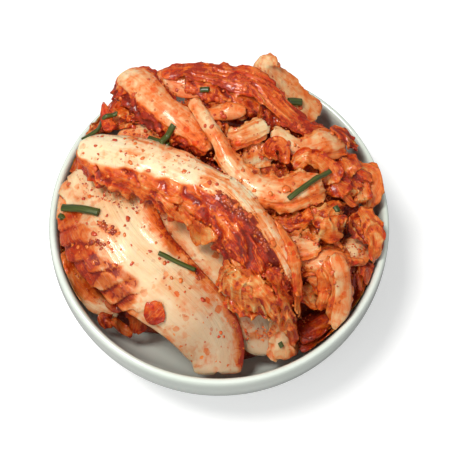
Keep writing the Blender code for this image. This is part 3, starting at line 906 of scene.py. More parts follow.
def read_map(heights, x, y):
    """Height of a map at x, y, blended between the four nearest cells."""
    fx = np.clip((x + REACH) / CELL, 0, CELLS - 1.001)
    fy = np.clip((y + REACH) / CELL, 0, CELLS - 1.001)
    i, j = fx.astype(int), fy.astype(int)
    tx, ty = fx - i, fy - j
    return ((heights[i, j] * (1 - tx) + heights[i + 1, j] * tx) * (1 - ty)
            + (heights[i, j + 1] * (1 - tx) + heights[i + 1, j + 1] * tx) * ty)


CORE_DEEPER = 4.0
# how far out the food reaches, in millimetres, for bearings in degrees from the right
FOOD_BEARING = [-180, -160, -140, -125, -110, -95, -80, -65, -50, -35, -20, 0, 30, 60, 90, 135, 180]
FOOD_REACH = [75, 74, 68, 57, 52, 60, 62, 62, 64, 68, 71, 70, 68, 66, 70, 72, 75]


def food_reach(x, y):
    """How far from the axis the food reaches in the direction of x, y."""
    return np.interp(np.degrees(np.arctan2(y, x)), FOOD_BEARING, FOOD_REACH)


CORE_SIDE = 180
core_map = np.where(core_solid > 0, core_solid, 50.0)
core_map = blur(core_map, 8)
u, v = np.meshgrid(np.linspace(-1, 1, CORE_SIDE), np.linspace(-1, 1, CORE_SIDE), indexing="ij")
disc_x = u * np.sqrt(1 - v**2 / 2)
disc_y = v * np.sqrt(1 - u**2 / 2)
core_reach = food_reach(disc_x, disc_y) - 1.5
core_x, core_y = core_reach * disc_x, core_reach * disc_y
core_r = np.hypot(core_x, core_y)
crumpled = 3.2 * (ridges(core_x / 9.0, core_y / 6.5, 11, 4) - 0.6) + 0.7 * layered(
    core_x / 2.5, core_y / 2.5, 15, 3)
top_z = read_map(core_map, core_x, core_y) - CORE_DEEPER + crumpled
floor_z = wall_height(core_r) + 0.8
rim_share = np.hypot(disc_x, disc_y)
side_z = floor_z + (top_z - floor_z) * np.sqrt(np.clip(1 - rim_share**8, 0, 1))
top_z = np.maximum(side_z, floor_z + 0.05)
top = np.stack([core_x, core_y, top_z], axis=-1)
bottom = np.stack([core_x, core_y, floor_z], axis=-1)
core_points = np.concatenate([top.reshape(-1, 3), bottom.reshape(-1, 3)])
core_look = np.stack([np.zeros_like(top_z), np.clip(crumpled / 4 + 0.5, 0, 1),
                      0.5 * np.ones_like(top_z)], axis=-1).reshape(-1, 3)
core_flow = np.stack([core_x + core_y, core_x - core_y, u], axis=-1).reshape(-1, 3)
core = mesh_piece("heap_core", core_points, shell_quads(CORE_SIDE, CORE_SIDE), dark_leaf,
                  {"look": np.tile(core_look, (2, 1)), "flow": np.tile(core_flow, (2, 1))})
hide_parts("leaf_core")

radius_map = np.hypot(MAP_X, MAP_Y)
heap = np.where(radius_map < 76.5, wall_height(radius_map), 57.0)
stamp(heap, top)
print("core piece up to", round(top_z.max(), 1), "mm")

# %% [markdown]
# ## Small leaves that fill the heap
#
# Between the big leaves show many small ones: torn frills and short folded strips, stained
# deep orange to brick red, and given darker materials than that as painted shade in the
# gaps between the big leaves.  They are laid in rounds, each one draped over the map where
# it falls, and kept below the frame's big leaves, which press on them.

# %% Fillers
leaf_nodes = [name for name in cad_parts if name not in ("bowl", "leaf_core")]
ceiling = np.full((CELLS, CELLS), 1000.0)
for name in leaf_nodes:
    np.minimum(ceiling, bottom_of_node(name), out=ceiling)
ceiling = -spread(-ceiling, 2)
PRESSED = 1.2


def keep_inside(points, clear=1.3):
    """Draws points that would cut the bowl's wall back to just inside it."""
    inner = np.array(WALL[:9])
    limit = np.interp(points[..., 2], inner[:, 1], inner[:, 0]) - clear
    limit = limit + 1.6 * ramp(points[..., 2], 60.5, 64.0)
    radius = np.hypot(points[..., 0], points[..., 1])
    shrink = np.minimum(1.0, limit / np.maximum(radius, 1e-6))
    points[..., :2] *= shrink[..., None]


def join_shells(parts):
    """Points, quads and attributes of several shells as one mesh."""
    points, quads, looks, flows = [], [], [], []
    offset = 0
    for upper, under, look, flow in parts:
        rows, columns = upper.shape[:2]
        points += [upper.reshape(-1, 3), under.reshape(-1, 3)]
        looks += [look.reshape(-1, 3)] * 2
        flows += [flow.reshape(-1, 3)] * 2
        quads.append(shell_quads(rows, columns, offset))
        offset += 2 * rows * columns
    return (np.concatenate(points), np.concatenate(quads),
            {"look": np.concatenate(looks), "flow": np.concatenate(flows)})


def lay_scrap(x, y, heading, length, width, seed, wrinkle=0.7, frill=1.3, rib=False,
              raised=1.5, free=False, step=0.8):
    """One small leaf draped on the heap at a place, pressed under the frame's big leaves unless free."""
    rng = np.random.default_rng(seed)
    bend = rng.uniform(-0.9, 0.9)
    t = np.linspace(-0.5, 0.5, 5)
    angle = heading + bend * t
    step_x, step_y = np.cos(angle) * length / 4, np.sin(angle) * length / 4
    xs, ys = x + np.cumsum(step_x) - step_x.sum() / 2, y + np.cumsum(step_y) - step_y.sum() / 2
    soft = blur(heap, 3)
    zs = read_map(soft, xs, ys) + raised + rng.uniform(0.0, 2.5, 5)
    widths = width * np.array([0.6, 1.0, 1.1, 1.0, 0.5]) * rng.uniform(0.8, 1.2, 5)
    fall = width * rng.uniform(0.15, 0.6, 2)
    middle = rng.uniform(-0.3, 0.3)
    half = rng.uniform(0.35, 0.6) if rib else 0.12
    shape = leaf_surface(np.stack([xs, ys, zs, widths], axis=1), fall,
                         ((middle, half), (middle, half * 0.7)) if rib else None, wrinkle,
                         (frill, frill), seed, step=step, ends=(width * 0.4, width * 0.4),
                         rib_thick=2.2 if rib else 1.0, blade_thick=0.6)
    upper, under = shape[0], shape[1]
    settle(heap, upper, under, quiet=True)
    room = read_map(ceiling, upper[..., 0], upper[..., 1]) - PRESSED
    squeeze = np.maximum(upper[..., 2] - room, 0.0)
    squeeze = np.where((room > 500) | free, 0.0, squeeze)
    upper[..., 2] -= squeeze
    under[..., 2] -= squeeze
    keep_inside(upper)
    keep_inside(under, 1.6)
    stamp(heap, upper)
    return shape


SCRAP_LOOKS = {"orange": [], "red": [], "dark": []}
rng = np.random.default_rng(2024)
SCRAP_ROUNDS = [("dark", 60, (14, 28), (6, 10), 1.0), ("red", 80, (12, 26), (5, 9), 1.2),
                ("orange", 60, (9, 20), (3, 7), 1.4)]
for look_name, count, lengths, widths, raised in SCRAP_ROUNDS:
    for number in range(count):
        distance = 72.0 * math.sqrt(rng.uniform(0.02, 1.0))
        bearing = rng.uniform(0.0, math.tau)
        x, y = distance * math.cos(bearing), distance * math.sin(bearing)
        length, width = rng.uniform(*lengths), rng.uniform(*widths)
        heading, seed = rng.uniform(0.0, math.tau), int(rng.integers(1e6))
        has_rib = rng.uniform() < 0.3
        if read_map(ceiling, x, y) < read_map(heap, x, y) + 2.0:
            continue
        if distance > food_reach(x, y) - 0.4 * length:
            continue
        scrap = lay_scrap(x, y, heading, length, width, seed, rib=has_rib, raised=raised,
                          step=0.9 if look_name == "dark" else 0.75)
        SCRAP_LOOKS[look_name].append(scrap)
# the red and orange scraps lie low between the big leaves and take the next darker material: painted shade for
# the gaps
for look_name, material in (("dark", dark_leaf), ("red", dark_leaf), ("orange", red_leaf)):
    points, quads, fields = join_shells(SCRAP_LOOKS[look_name])
    piece = mesh_piece("scraps_" + look_name, points, quads, material, fields)
    print(look_name, "scraps:", len(SCRAP_LOOKS[look_name]), "with", len(quads), "faces")

# %% [markdown]
# ## The big leaves
#
# Each big leaf follows the path of its solid in the frame.  Its crown takes the height of
# that solid, and it is settled on the map, lowest first, so the leaves lie over one
# another as they were piled.  What differs is how much midrib each one has, where across
# the leaf the midrib lies, and how wrinkled and how red its blade is.

# %% Leaves of the frame
ALL_RIB = ((0.0, 1.6), (0.0, 1.6))
CUT = 1.2                       # a cut end rounds off over this many millimetres
# name, path (x, y, z, half width), falls, rib, wrinkle, frill, look, thickness, ends
LEAVES = [
    ("leaf_under", [(-30, 10, 70, 16), (-14, -4, 68, 22), (-3, -16, 65, 18), (9, -29, 61, 16), (18, -40, 56, 13),
                    (24, -52, 51, 13), (24, -62, 45, 12)],
     (3, 6), ALL_RIB, 0.4, (0.4, 0.4), "clean", 2.6, (8, 3)),
    ("fan_end", [(28, -46, 60, 5), (28.5, -56, 54, 6), (28.5, -65, 48, 7)],
     (2, 2), None, 0.6, (1.2, 1.2), "white", 1.4, (4, 2)),
    ("left_wall_leaf", [(-71, 24, 60, 4), (-66, 34, 62, 6), (-58, 43, 66, 6)],
     (2, 2), None, 0.8, (1.0, 1.0), "peach", 1.0, (2, 2)),
    ("back_wall_leaf", [(-60, 43, 62, 5), (-52, 52, 66, 7), (-44, 58, 70, 6)],
     (2, 2), None, 0.9, (1.0, 1.0), "red", 1.0, (2, 2)),
    ("wall_strip", [(-70, -17, 58, 5), (-67, -28, 55, 5), (-61, -36, 51, 5), (-54, -40, 48, 4),
                    (-48, -42, 46, 3)],
     (2, 2), ALL_RIB, 0.8, (0.5, 0.5), "pale", 1.6, (3, 2)),
    ("chilli_lump", [(-56, -45, 46, 3), (-53, -47, 48, 4), (-49, -49, 46, 3)],
     (2, 2), None, 0.6, (0.4, 0.4), "red", 2.0, (3, 3)),
    ("brown_flap", [(-39, -38, 52, 5), (-38, -45, 45, 5), (-39, -51, 39, 3)],
     (1, 1), None, 0.4, (0.5, 0.5), "peach", 1.2, (2, 2)),
    ("hook_flap_a", [(-52, -38, 56, 2), (-49, -41, 52, 3), (-44, -40, 53, 2.5),
                     (-42, -36, 58, 2)],
     (1, 1), None, 0.3, (0.5, 0.5), "peach", 1.0, (1, 1)),
    ("hook_flap_b", [(-50, -47, 44, 2), (-46, -49, 42, 2.2), (-41, -52, 40, 1.5)],
     (1, 1), None, 0.2, (0.3, 0.3), "peach", 1.0, (1, 1)),
    ("low_strip_a", [(37, -60, 47, 2), (46, -57, 49, 3), (55, -51, 52, 2.5)],
     (1, 1), None, 0.4, (0.5, 0.5), "red", 1.0, (1, 2)),
    # the dark look here is painted shade for the gap between the low folds and the bowl's wall
    ("low_strip_b", [(38, -56, 50, 2.5), (46, -53, 53, 3), (52, -48, 56, 2.5)],
     (1, 1), ALL_RIB, 0.4, (0.5, 0.5), "dark", 1.0, (1, 2)),
    ("far_right_leaf", [(24, 71, 93, 0.8), (23.6, 67.5, 91, 4), (23, 63, 88, 7), (31, 59, 81, 7), (39, 52, 75, 8),
                        (47, 47, 71, 8)],
     (2, 3), None, 0.25, (0.35, 0.35), "white", 1.6, (1, 4)),
    ("rim_curl", [(62, 24, 68, 3), (69, 20, 72, 5), (73, 16, 73, 6), (71, 9, 70, 5),
                  (69, 3, 65, 3)],
     (3, 3), None, 0.4, (0.6, 0.6), "peach", 1.4, (2, 2)),
    ("red_fold", [(64, -23, 64, 5), (63, -33, 58, 7), (58, -44, 52, 5)],
     (3, 4), None, 1.0, (1.5, 1.5), "red", 1.2, (4, 4)),
    ("right_low_red", [(64, -24, 64, 4), (68, -27, 60, 5), (71, -33, 55, 3)],
     (2, 2), None, 0.8, (1.0, 1.0), "red", 1.0, (2, 2)),
    # the dark look here is painted shade for the gap between the low folds and the bowl's wall
    ("low_fold", [(36, -52, 47, 6), (45, -50, 50, 6), (53, -46, 52, 4)],
     (3, 1), None, 0.9, (1.0, 1.0), "dark", 1.2, (4, 4)),
    ("pale_chip_right", [(57, -19, 68, 5), (63, -19, 68, 7), (69, -21, 63, 5)],
     (3, 3), ALL_RIB, 0.4, (0.5, 0.5), "white", 1.8, (3, 2)),
    ("lower_fold_a", [(37, -36, 66, 4), (42, -40, 64, 5), (47, -43, 60, 4)],
     (-4, 4), None, 0.7, (0.8, 0.8), "peach", 1.0, (3, 3)),
    ("lower_right_leaf", [(38, -30, 73, 14), (45, -27, 75, 14), (53, -26, 73, 11),
                          (60, -27, 66, 6)],
     (8, 4), None, 0.8, (1.6, 1.2), "peach", 1.2, (5, 5)),
    ("lower_fold_b", [(37, -26, 77, 4), (44, -27, 78, 6), (52, -27, 78, 6.5), (57, -30, 75, 4)],
     (4, 4), ((0, 0.7), (0, 0.7)), 0.35, (0.5, 0.5), "peach", 1.2, (3, 3)),
    ("hanging_side", [(47, -31, 77, 4), (48, -38, 72, 4.5), (46, -46, 64, 3)],
     (3, 3), None, 0.5, (0.8, 0.8), "red", 1.0, (3, 3)),
    ("hanging_fold", [(50, -27, 78, 7), (54, -36, 75, 6), (55, -45, 66, 5.5), (53, -54, 54, 3)],
     (5, 6), ((-0.2, 0.5), (0.0, 0.6)), 0.5, (0.9, 0.9), "peach", 1.6, (5, 3)),
    ("right_cup", [(59, 14, 72, 5), (64, 10, 72, 6), (66, 3, 70, 5)],
     (-5, -5), None, 0.8, (1.0, 1.0), "peach", 1.0, (2, 2)),
    ("right_tuft", [(41, -6, 79, 6), (49, -7, 79, 10), (56, -8, 74, 8)],
     (5, 3), None, 1.3, (2.0, 2.0), "red", 1.2, (4, 4)),
    ("tuft_frill_a", [(40, -7, 82, 4), (46, -7, 83, 6), (54, -7, 80, 4)],
     (-4, 3), None, 1.0, (1.8, 1.8), "gold", 0.9, (3, 3)),
    ("tuft_frill_b", [(45, -13, 80, 4), (51, -14, 79, 5), (57, -11, 77, 4)],
     (3, -4), None, 1.0, (1.8, 1.8), "gold", 0.9, (3, 3)),
    ("right_leaf", [(60, -6, 73, 7), (66, -8, 74, 9), (72, -13, 70, 6), (75, -19, 65, 2)],
     (-4, 4), None, 1.0, (1.3, 1.3), "red", 1.2, (3, 5)),
    ("rim_leaf_right", [(66, 0, 72, 3), (70, -8, 71, 5), (72, -16, 67, 4), (71, -24, 62, 2)],
     (-3, 3), None, 0.8, (1.2, 1.2), "peach", 0.9, (2, 4)),
    ("right_back_leaf", [(52, 20, 74, 9), (59, 13, 73, 8), (63, 6, 70, 5)],
     (3, 3), None, 1.2, (1.5, 1.5), "red", 1.2, (4, 4)),
    ("orange_flap_right", [(54, 28, 74, 4), (59, 22, 74, 6), (62, 15, 72, 5)],
     (-4, 3), None, 0.8, (1.0, 1.0), "peach", 1.0, (2, 2)),
    ("right_lumps", [(47, 12, 78, 4), (53, 10, 77, 6), (60, 6, 75, 5)],
     (4, -5), None, 0.8, (0.8, 0.8), "red", 1.0, (3, 3)),
    ("left_pale_piece", [(-47, 34, 77, 5), (-36, 34, 80, 7), (-25, 30, 81, 6)],
     (2, 2), ((0, 0.9), (0, 0.9)), 0.6, (0.8, 0.8), "white", 2.0, (3, 3)),
    ("behind_left", [(-48, 39, 72, 5), (-43, 45, 76, 7), (-37, 49, 79, 6)],
     (-4, 4), None, 1.0, (1.2, 1.2), "peach", 1.0, (3, 3)),
    ("chilli_tip", [(-50, 36, 74, 3), (-53, 43, 79, 3), (-54, 49, 84, 1)],
     (2, 2), None, 0.2, (0.2, 0.2), "red", 2.6, (2, 1)),
    ("back_left_piece", [(-49, 47, 76, 4), (-42, 48, 80, 8), (-34, 44, 83, 6)],
     (2, 2), None, 1.2, (1.5, 1.5), "red", 1.2, (4, 4)),
    ("big_leaf", [(-64, 24, 66, 13), (-59, 10, 71, 18), (-53, -4, 74, 22), (-47, -14, 75, 22),
                  (-39, -24, 74, 20), (-28, -33, 73, 18), (-19, -40.5, 69, 16.5),
                  (-11, -47.5, 65, 15.5), (-4.5, -55, 61, 14.5), (-1, -63, 56, 12.5),
                  (-0.5, -72, 51, 10)],
     ((6, 11, 13, 8, 3), (5, 5, 4, 3)), ALL_RIB, 0.6, (0.8, 0.4), "clean", 3.4, (8, CUT)),
    ("pink_skin", [(-33, -51, 60, 3), (-29, -48, 66, 5), (-26, -45, 71, 3)],
     (2, 2), None, 0.2, (0.4, 0.4), "red", 0.6, (3, 3)),
    ("back_mid_leaf", [(-14, 52, 85, 6), (-3, 49, 87, 8), (8, 46, 87, 7), (15, 45, 84, 5)],
     (3, 3), None, 1.3, (1.6, 1.6), "red", 1.2, (4, 4)),
    ("orange_back_band", [(-32, 61, 84, 3), (-22, 63, 87, 3.5), (-11, 63, 89, 3.5),
                          (1, 64, 88, 3)],
     (2, 2), ALL_RIB, 0.4, (0.5, 0.5), "peach", 1.4, (2, 2)),
    ("speckled_flat", [(-26, 58, 84, 4), (-15, 55, 86, 5), (-3, 53, 87, 4)],
     (1, 2), ALL_RIB, 0.4, (0.4, 0.4), "white", 1.4, (2, 2)),
    ("arc_lining", [(-16, 57, 82, 5), (-2, 55, 84, 8), (10, 52, 85, 9.6), (20, 47, 84, 8),
                    (30, 40, 82, 5)],
     (8, 8), None, 1.0, (1.2, 1.2), "red", 1.0, (3, 3)),
    ("back_arc_leaf", [(-27, 62, 85, 4), (-14, 62, 90, 5), (2, 59, 92, 7), (14, 56, 93, 8),
                       (22, 51, 92, 6), (28, 45, 90, 6), (34, 40, 87, 6), (42, 36, 82, 5),
                       (50, 35, 77, 6)],
     (2, 4), None, 0.80, (0.3, 0.3), "veiny", 1.6, (4, 4)),
    ("pale_knuckle", [(-8, 40, 86, 2), (-2, 41, 88, 3), (5, 42, 88, 3), (12, 42, 86, 1.6)],
     (3, 2), ALL_RIB, 0.3, (0.3, 0.3), "peach", 1.6, (3, 3)),
    ("right_band", [(25, 33, 84, 4), (31, 29, 84, 4), (39, 26, 82, 5), (49, 29, 79, 8),
                    (59, 33, 73, 6)],
     (3, 3), ((0, 0.8), (0, 0.6)), 0.4, (0.5, 0.8), "white", 1.8, (3, 3)),
    ("red_tips", [(53, 38, 76, 3), (59, 35, 75, 4), (64, 29, 73, 3)],
     (2, 2), None, 0.9, (1.4, 1.4), "red", 0.9, (2, 2)),
    ("standing_rib", [(18, 28, 85, 6), (17, 20, 84, 8), (17, 12, 81, 7)],
     (4, 4), None, 0.35, (0.4, 0.4), "pale", 2.4, (2, 2)),
    ("ridged_rib", [(4, 29, 88, 6), (12, 30, 90, 6), (22, 35, 89, 5)],
     (5, 3), None, 0.9, (0.5, 0.5), "white", 2.8, (2, 2.5)),
    ("small_loop", [(34, 18, 79, 3), (40, 20, 83, 4), (46, 19, 82, 4), (51, 15, 79, 5),
                    (52, 9, 75, 4)],
     (4, -4), None, 0.5, (0.8, 0.8), "peach", 1.4, (2, 2)),
    ("curl_ring", [(25, 17, 80, 2.2), (23, 23, 83, 2.5), (26, 27, 85, 2.5), (30, 24, 84, 2.5),
                   (30, 18, 80, 2)],
     (-3, -3), None, 0.3, (0.3, 0.3), "red", 0.8, (1, 1)),
    ("under_band", [(18, -7, 82, 4), (30, -11, 80, 5), (42, -6, 80, 4)],
     (3, 3), None, 0.9, (1.2, 1.0), "red", 1.0, (3, 3)),
    ("mid_right_fold", [(30, -18, 78, 6), (36, -21, 78, 8), (45, -20, 77, 6)],
     (-4, 4), ((0, 0.6), (0, 0.5)), 0.7, (0.8, 0.8), "white", 1.4, (4, 4)),
    ("left_rolled_leaf", [(-47, 65, 84, 8), (-38, 56, 90, 11), (-27, 43, 93, 9),
                          (-17, 35, 92, 9), (-10, 29, 89, 7), (-5, 23, 86, 4)],
     (10, 5), ((-0.15, 0.6), (-0.2, 0.7)), 0.8, (1.3, 0.6), "rolled", 2.6, (7, 4)),
    ("curved_band", [(-12, 46, 92, 3), (-6, 36, 92, 3.2), (0, 26, 92, 3.8), (5, 16, 91, 5),
                     (12, 8, 90, 6.5), (21, 3, 90, 8), (31, 2, 90, 9.5), (40, 6, 88, 10),
                     (46, 10, 85, 5)],
     (5, 3), ((0, 0.9), (-0.1, 0.55)), 0.8, (1.0, 0.8), "pale", 1.8, (2, 3)),
    ("gold_crumble", [(3, -42, 70, 4), (12, -45, 70, 6), (19, -46, 72, 6), (28, -47, 70, 4)],
     (4, 2), None, 1.1, (2.0, 1.0), "gold", 0.9, (3, 3)),
    ("drip_tongue", [(24, -41, 73, 5), (29, -48, 67, 5), (33, -54, 60, 3.5), (34, -60, 55, 2)],
     (2, 2), None, 0.8, (1.0, 1.0), "peach", 0.9, (3, 1)),
    ("top_leaf", [(-64, 27, 83, 9), (-47, 19, 91, 13), (-31, 13, 94, 14), (-14, 4, 95, 14),
                  (1, -5, 95, 13), (11, -17, 93, 14), (18, -27, 89, 16), (24, -36, 82, 14),
                  (30, -46, 73, 8)],
     (13, 8), ((-0.30, 0.85), (-0.76, 0.38)), 1.0, (1.2, 0.5), "top", 4.2, (7, 7)),
    ("hem_frill_a", [(0, -34, 80, 3), (6, -40, 77, 5), (15, -45, 74, 5), (26, -48, 71, 4)],
     (3, 1), None, 0.9, (2.2, 1.2), "gold", 0.8, (3, 3)),
    ("hem_frill_b", [(14, -38, 79, 3), (19, -45, 75, 4), (25, -50, 70, 4), (31, -55, 63, 2)],
     (2, 1), None, 0.9, (1.8, 1.2), "gold", 0.8, (3, 2)),
    ("hem_frill_c", [(22, -33, 83, 2.5), (27, -41, 79, 3.6), (30, -49, 72, 3.6), (32, -57, 62, 2)],
     (2, 2), None, 0.9, (1.0, 1.2), "red", 0.8, (3, 3)),
    ("hem_rope", [(25, -12, 88, 1), (29.5, -19, 86, 2.2), (33, -27, 83, 2.6), (35, -36, 78, 2.6),
                  (35.5, -44, 71, 2.2), (35.3, -51, 65, 1)],
     (2, 2), None, 0.5, (0.3, 0.5), "white", 1.8, (5, 4)),
]
MATERIALS = {"top": top_skin, "clean": clean_leaf, "rolled": rolled_skin,
             "pale": pale_rib, "white": white_leaf, "peach": peach_leaf,
             "gold": gold_leaf, "red": red_leaf, "dark": dark_leaf, "veiny": veiny_leaf}
slots = {name: "mixed_leaf" for name in leaf_nodes}
slots.update(dict.fromkeys(("leaf_under", "big_leaf", "top_leaf", "left_rolled_leaf",
                            "ridged_rib", "standing_rib", "left_pale_piece"), "white_midrib"))
slots.update(dict.fromkeys(("wall_strip", "far_right_leaf", "rim_curl", "lower_right_leaf",
                            "hanging_fold", "right_band", "small_loop", "curved_band",
                            "brown_flap"), "stained_leaf"))
slots.update(dict.fromkeys(("red_fold", "low_fold", "right_tuft", "right_leaf",
                            "right_back_leaf", "back_left_piece", "back_mid_leaf",
                            "back_arc_leaf"), "red_leaf"))
slots.update(dict.fromkeys(("chilli_tip", "chilli_lump"), "chilli"))


def crown_from_node(name, path):
    """The same path with its heights read from the top of the leaf's own solid."""
    heights = spread(top_of_node(name), 2)
    path = np.array(path, float)
    found = heights[cell_of(path)]
    path[:, 2] = np.where(found > 0, found, path[:, 2])
    return path


LAID = {}
LOWER = 2.0                     # room for the midrib's bulge under the frame's own height
# leaf: depth and spacing of its pleats, and how far along it they go
PLEATS = {"big_leaf": (2.3, 9.5, 0.58), "left_rolled_leaf": (1.2, 7.0, 0.9),
          "fan_end": (1.1, 2.8, 1.2)}
# leaf: slant and spacing of the ropes in its blade, where they run along the leaf
ROPES = {"back_arc_leaf": (0.06, 2.8), "curved_band": (0.08, 3.0), "right_band": (0.08, 3.4),
         "ridged_rib": (0.04, 2.4), "standing_rib": (0.04, 2.6), "rim_curl": (0.10, 4.0),
         "hanging_fold": (0.15, 4.2), "top_leaf": (0.34, 4.4), "gold_crumble": (0.85, 3.2),
         "hem_frill_a": (0.85, 3.0), "hem_rope": (0.05, 1.8), "lower_fold_b": (0.10, 4.0)}
# leaf: how pale its blade is, from 0 like any blade to 1 like a midrib
PALE_BLADES = {"ridged_rib": 0.8, "standing_rib": 0.85, "fan_end": 0.85, "back_arc_leaf": 0.45,
               "right_band": 0.55, "back_mid_leaf": 0.30, "lower_right_leaf": 0.45,
               "far_right_leaf": 0.75, "rim_curl": 0.5, "curved_band": 0.55,
               "mid_right_fold": 0.5, "hanging_fold": 0.35, "left_rolled_leaf": 0.3,
               "hem_rope": 0.5, "lower_fold_b": 0.4}
# leaf: how stiff it is, in rounds of evening out its lift
STIFF = {"standing_rib": 90, "ridged_rib": 90, "left_pale_piece": 60, "far_right_leaf": 60,
         "right_band": 60, "small_loop": 40, "speckled_flat": 60, "hanging_fold": 40}
# leaf: number of loose folds, range of u along it, range of v across it, looks
FOLDS = {
    "top_leaf": (7, (0.30, 0.95), (0.35, 0.70), ("gold", "red", "peach")),
    "back_mid_leaf": (4, (0.0, 1.0), (-0.8, 0.8), ("red", "peach")),
    "lower_right_leaf": (5, (0.1, 1.0), (-0.6, 1.0), ("red", "peach")),
    "right_tuft": (5, (0.0, 1.0), (-1.0, 1.0), ("red", "gold")),
    "right_back_leaf": (3, (0.0, 1.0), (-1.0, 1.0), ("red", "peach")),
    "red_fold": (3, (0.0, 1.0), (-1.0, 1.0), ("red", "dark")),
}


def lay_folds(name, count, u_range, v_range, looks, seed):
    """Loose slant folds of thin blade lying on a leaf, as separate narrow pieces."""
    rng = np.random.default_rng(seed)
    upper = LAID[name]
    rows, columns = upper.shape[:2]
    made = {}
    for number in range(count):
        row = int((rows - 1) * rng.uniform(*u_range))
        column = int((columns - 1) * 0.5 * (1 + rng.uniform(*v_range)))
        ahead = upper[min(row + 4, rows - 1), column] - upper[max(row - 4, 0), column]
        heading = math.atan2(ahead[1], ahead[0]) + rng.uniform(-0.3, 0.3)
        x, y = upper[row, column, :2]
        shape = lay_scrap(x, y, heading, rng.uniform(12, 24), rng.uniform(1.3, 2.8),
                          seed + number + 1, wrinkle=0.25, frill=0.4, raised=-0.6, free=True, step=0.6)
        made.setdefault(looks[number % len(looks)], []).append(shape)
    for look_name, shapes in made.items():
        points, quads, fields = join_shells(shapes)
        piece = mesh_piece(name + "_folds_" + look_name, points, quads,
                           MATERIALS[look_name], fields)


for name, path, falls, rib, wrinkle, frill, look_name, thick, ends in LEAVES:
    seed = sum(map(ord, name))
    in_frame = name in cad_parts
    if in_frame:
        path = crown_from_node(name, path)
    path = np.array(path, float)
    path[:, 2] -= LOWER
    width = float(path[:, 3].max())
    is_small = width < 9.5 and rib is None
    if is_small:
        falls = [0.5 * fall for fall in falls]
    upper, under, look, flow = leaf_surface(
        path, falls, rib, wrinkle, frill, 100 + seed, step=0.6 if width > 12 else 0.5,
        ends=ends, rib_thick=thick, blade_thick=0.6 if is_small else 0.8, pleat=PLEATS.get(name), ropes=ROPES.get(name, (0.40, 4.6)))
    look[..., 0] = np.maximum(look[..., 0], PALE_BLADES.get(name, 0.0))
    lift = settle(heap, upper, under, stiffness=STIFF.get(name, 14))
    keep_inside(upper)
    keep_inside(under, 1.6)
    points, quads, fields = join_shells([(upper, under, look, flow)])
    piece = mesh_piece(name + "_leaf", points, quads, MATERIALS[look_name], fields)
    if in_frame:
        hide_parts(name)
    print(f"{name}: {len(quads)} faces, lifted {lift:.1f} mm")
    LAID[name] = upper
    if name in FOLDS:
        lay_folds(name, *FOLDS[name], seed=900 + seed)

# %% [markdown]
# ## Chives
#
# Short lengths of chive are hollow green tubes, pressed a little flat, with clean cut
# ends.  Each one follows a few points; its height comes from what it lies on.

# %% Chives
chive_green = bpy.data.materials.new("chive_green")
chive_green.use_nodes = True
tree = chive_green.node_tree
shader = tree.nodes["Principled BSDF"]
flow = add_node(tree, "ShaderNodeAttribute", attribute_name="flow").outputs["Vector"]
lines = add_node(tree, "ShaderNodeVectorMath", {0: flow, 1: (0.05, 2.6, 0.0)},
                 operation="MULTIPLY")
striped = cloud(tree, lines.outputs[0], 1.0, 2.0)
green = blend(tree, step_between(tree, striped, 0.35, 0.65), (0.030, 0.044, 0.006, 1.0),
              (0.085, 0.108, 0.009, 1.0))
inner = add_node(tree, "ShaderNodeSeparateXYZ", {0: flow}).outputs[2]
tree.links.new(blend(tree, step_between(tree, inner, 0.4, 0.6), green, (0.18, 0.22, 0.05, 1.0)),
               shader.inputs["Base Color"])
shader.inputs["Roughness"].default_value = 0.32
shader.inputs["Coat Weight"].default_value = 0.2
shader.inputs["Coat Roughness"].default_value = 0.10
shader.inputs["Subsurface Weight"].default_value = 0.1
shader.inputs["Subsurface Scale"].default_value = 0.001


def chive(points_xy, half_width, lift, seed):
    """Rings of a hollow flattened tube along a path; the wall turns in at both ends.

    A ring is an ellipse 0.72 as high as it is wide.  The rings run along the outside, turn
    in over the cut edge and come back a little way inside, where a last ring closes.
    """
    knots = np.array([(x, y, 0.0, half_width) for x, y in points_xy])
    rows, along = smooth_path(knots, 0.6)
    soft = blur(heap, 2)
    rows[:, 2] = read_map(soft, rows[:, 0], rows[:, 1])
    rows[:, 2] = np.maximum(np.interp(along, along[[0, len(along) // 2, -1]],
                                      rows[[0, len(along) // 2, -1], 2]),
                            rows[:, 2]) + 0.72 * half_width + lift
    rows[:, 2] = blur(rows[:, 2][:, None] * np.ones((1, 3)), 6)[:, 1]
    spine = rows[:, :3]
    ahead = unit(np.gradient(spine, axis=0))
    across = unit(np.cross(ahead, [0.0, 0.0, 1.0]))
    up = np.cross(across, ahead)
    wobble = half_width * (1 + 0.07 * noise(along / 4.0, 0.3, seed))
    depth = min(3, len(rows) // 3)
    order = np.concatenate([np.arange(depth, 0, -1), np.arange(len(rows)),
                            np.arange(len(rows) - 2, len(rows) - 2 - depth, -1)])
    inside = np.concatenate([np.ones(depth), np.zeros(len(rows)), np.ones(depth)])
    size = wobble[order] * np.where(inside > 0, 0.72, 1.0)
    around = 14
    angle = np.linspace(0.0, math.tau, around, endpoint=False)[None, :]
    rings = (spine[order][:, None, :]
             + across[order][:, None, :] * (size[:, None] * np.cos(angle))[..., None]
             + up[order][:, None, :] * (0.72 * size[:, None] * np.sin(angle))[..., None])
    flow = np.stack([along[order][:, None] * np.ones_like(angle) + 31 * seed,
                     size[:, None] * angle, inside[:, None] * np.ones_like(angle)], axis=-1)
    return rings, flow


def tube_quads(rings, around, offset=0):
    """Quads between rings, and the last cap of each end folded into its ring's centre."""
    index = np.arange(rings * around).reshape(rings, around) + offset
    beside = np.roll(index, -1, axis=1)
    sides = np.stack([index[:-1], index[1:], beside[1:], beside[:-1]], axis=-1).reshape(-1, 4)
    caps = []
    for ring, turn in ((index[0], 1), (index[-1], -1)):
        for k in range(around // 2 - 1):
            quad = [ring[k], ring[k + 1], ring[around - 2 - k], ring[around - 1 - k]]
            caps.append(quad[::turn])
    return np.concatenate([sides, np.array(caps)])


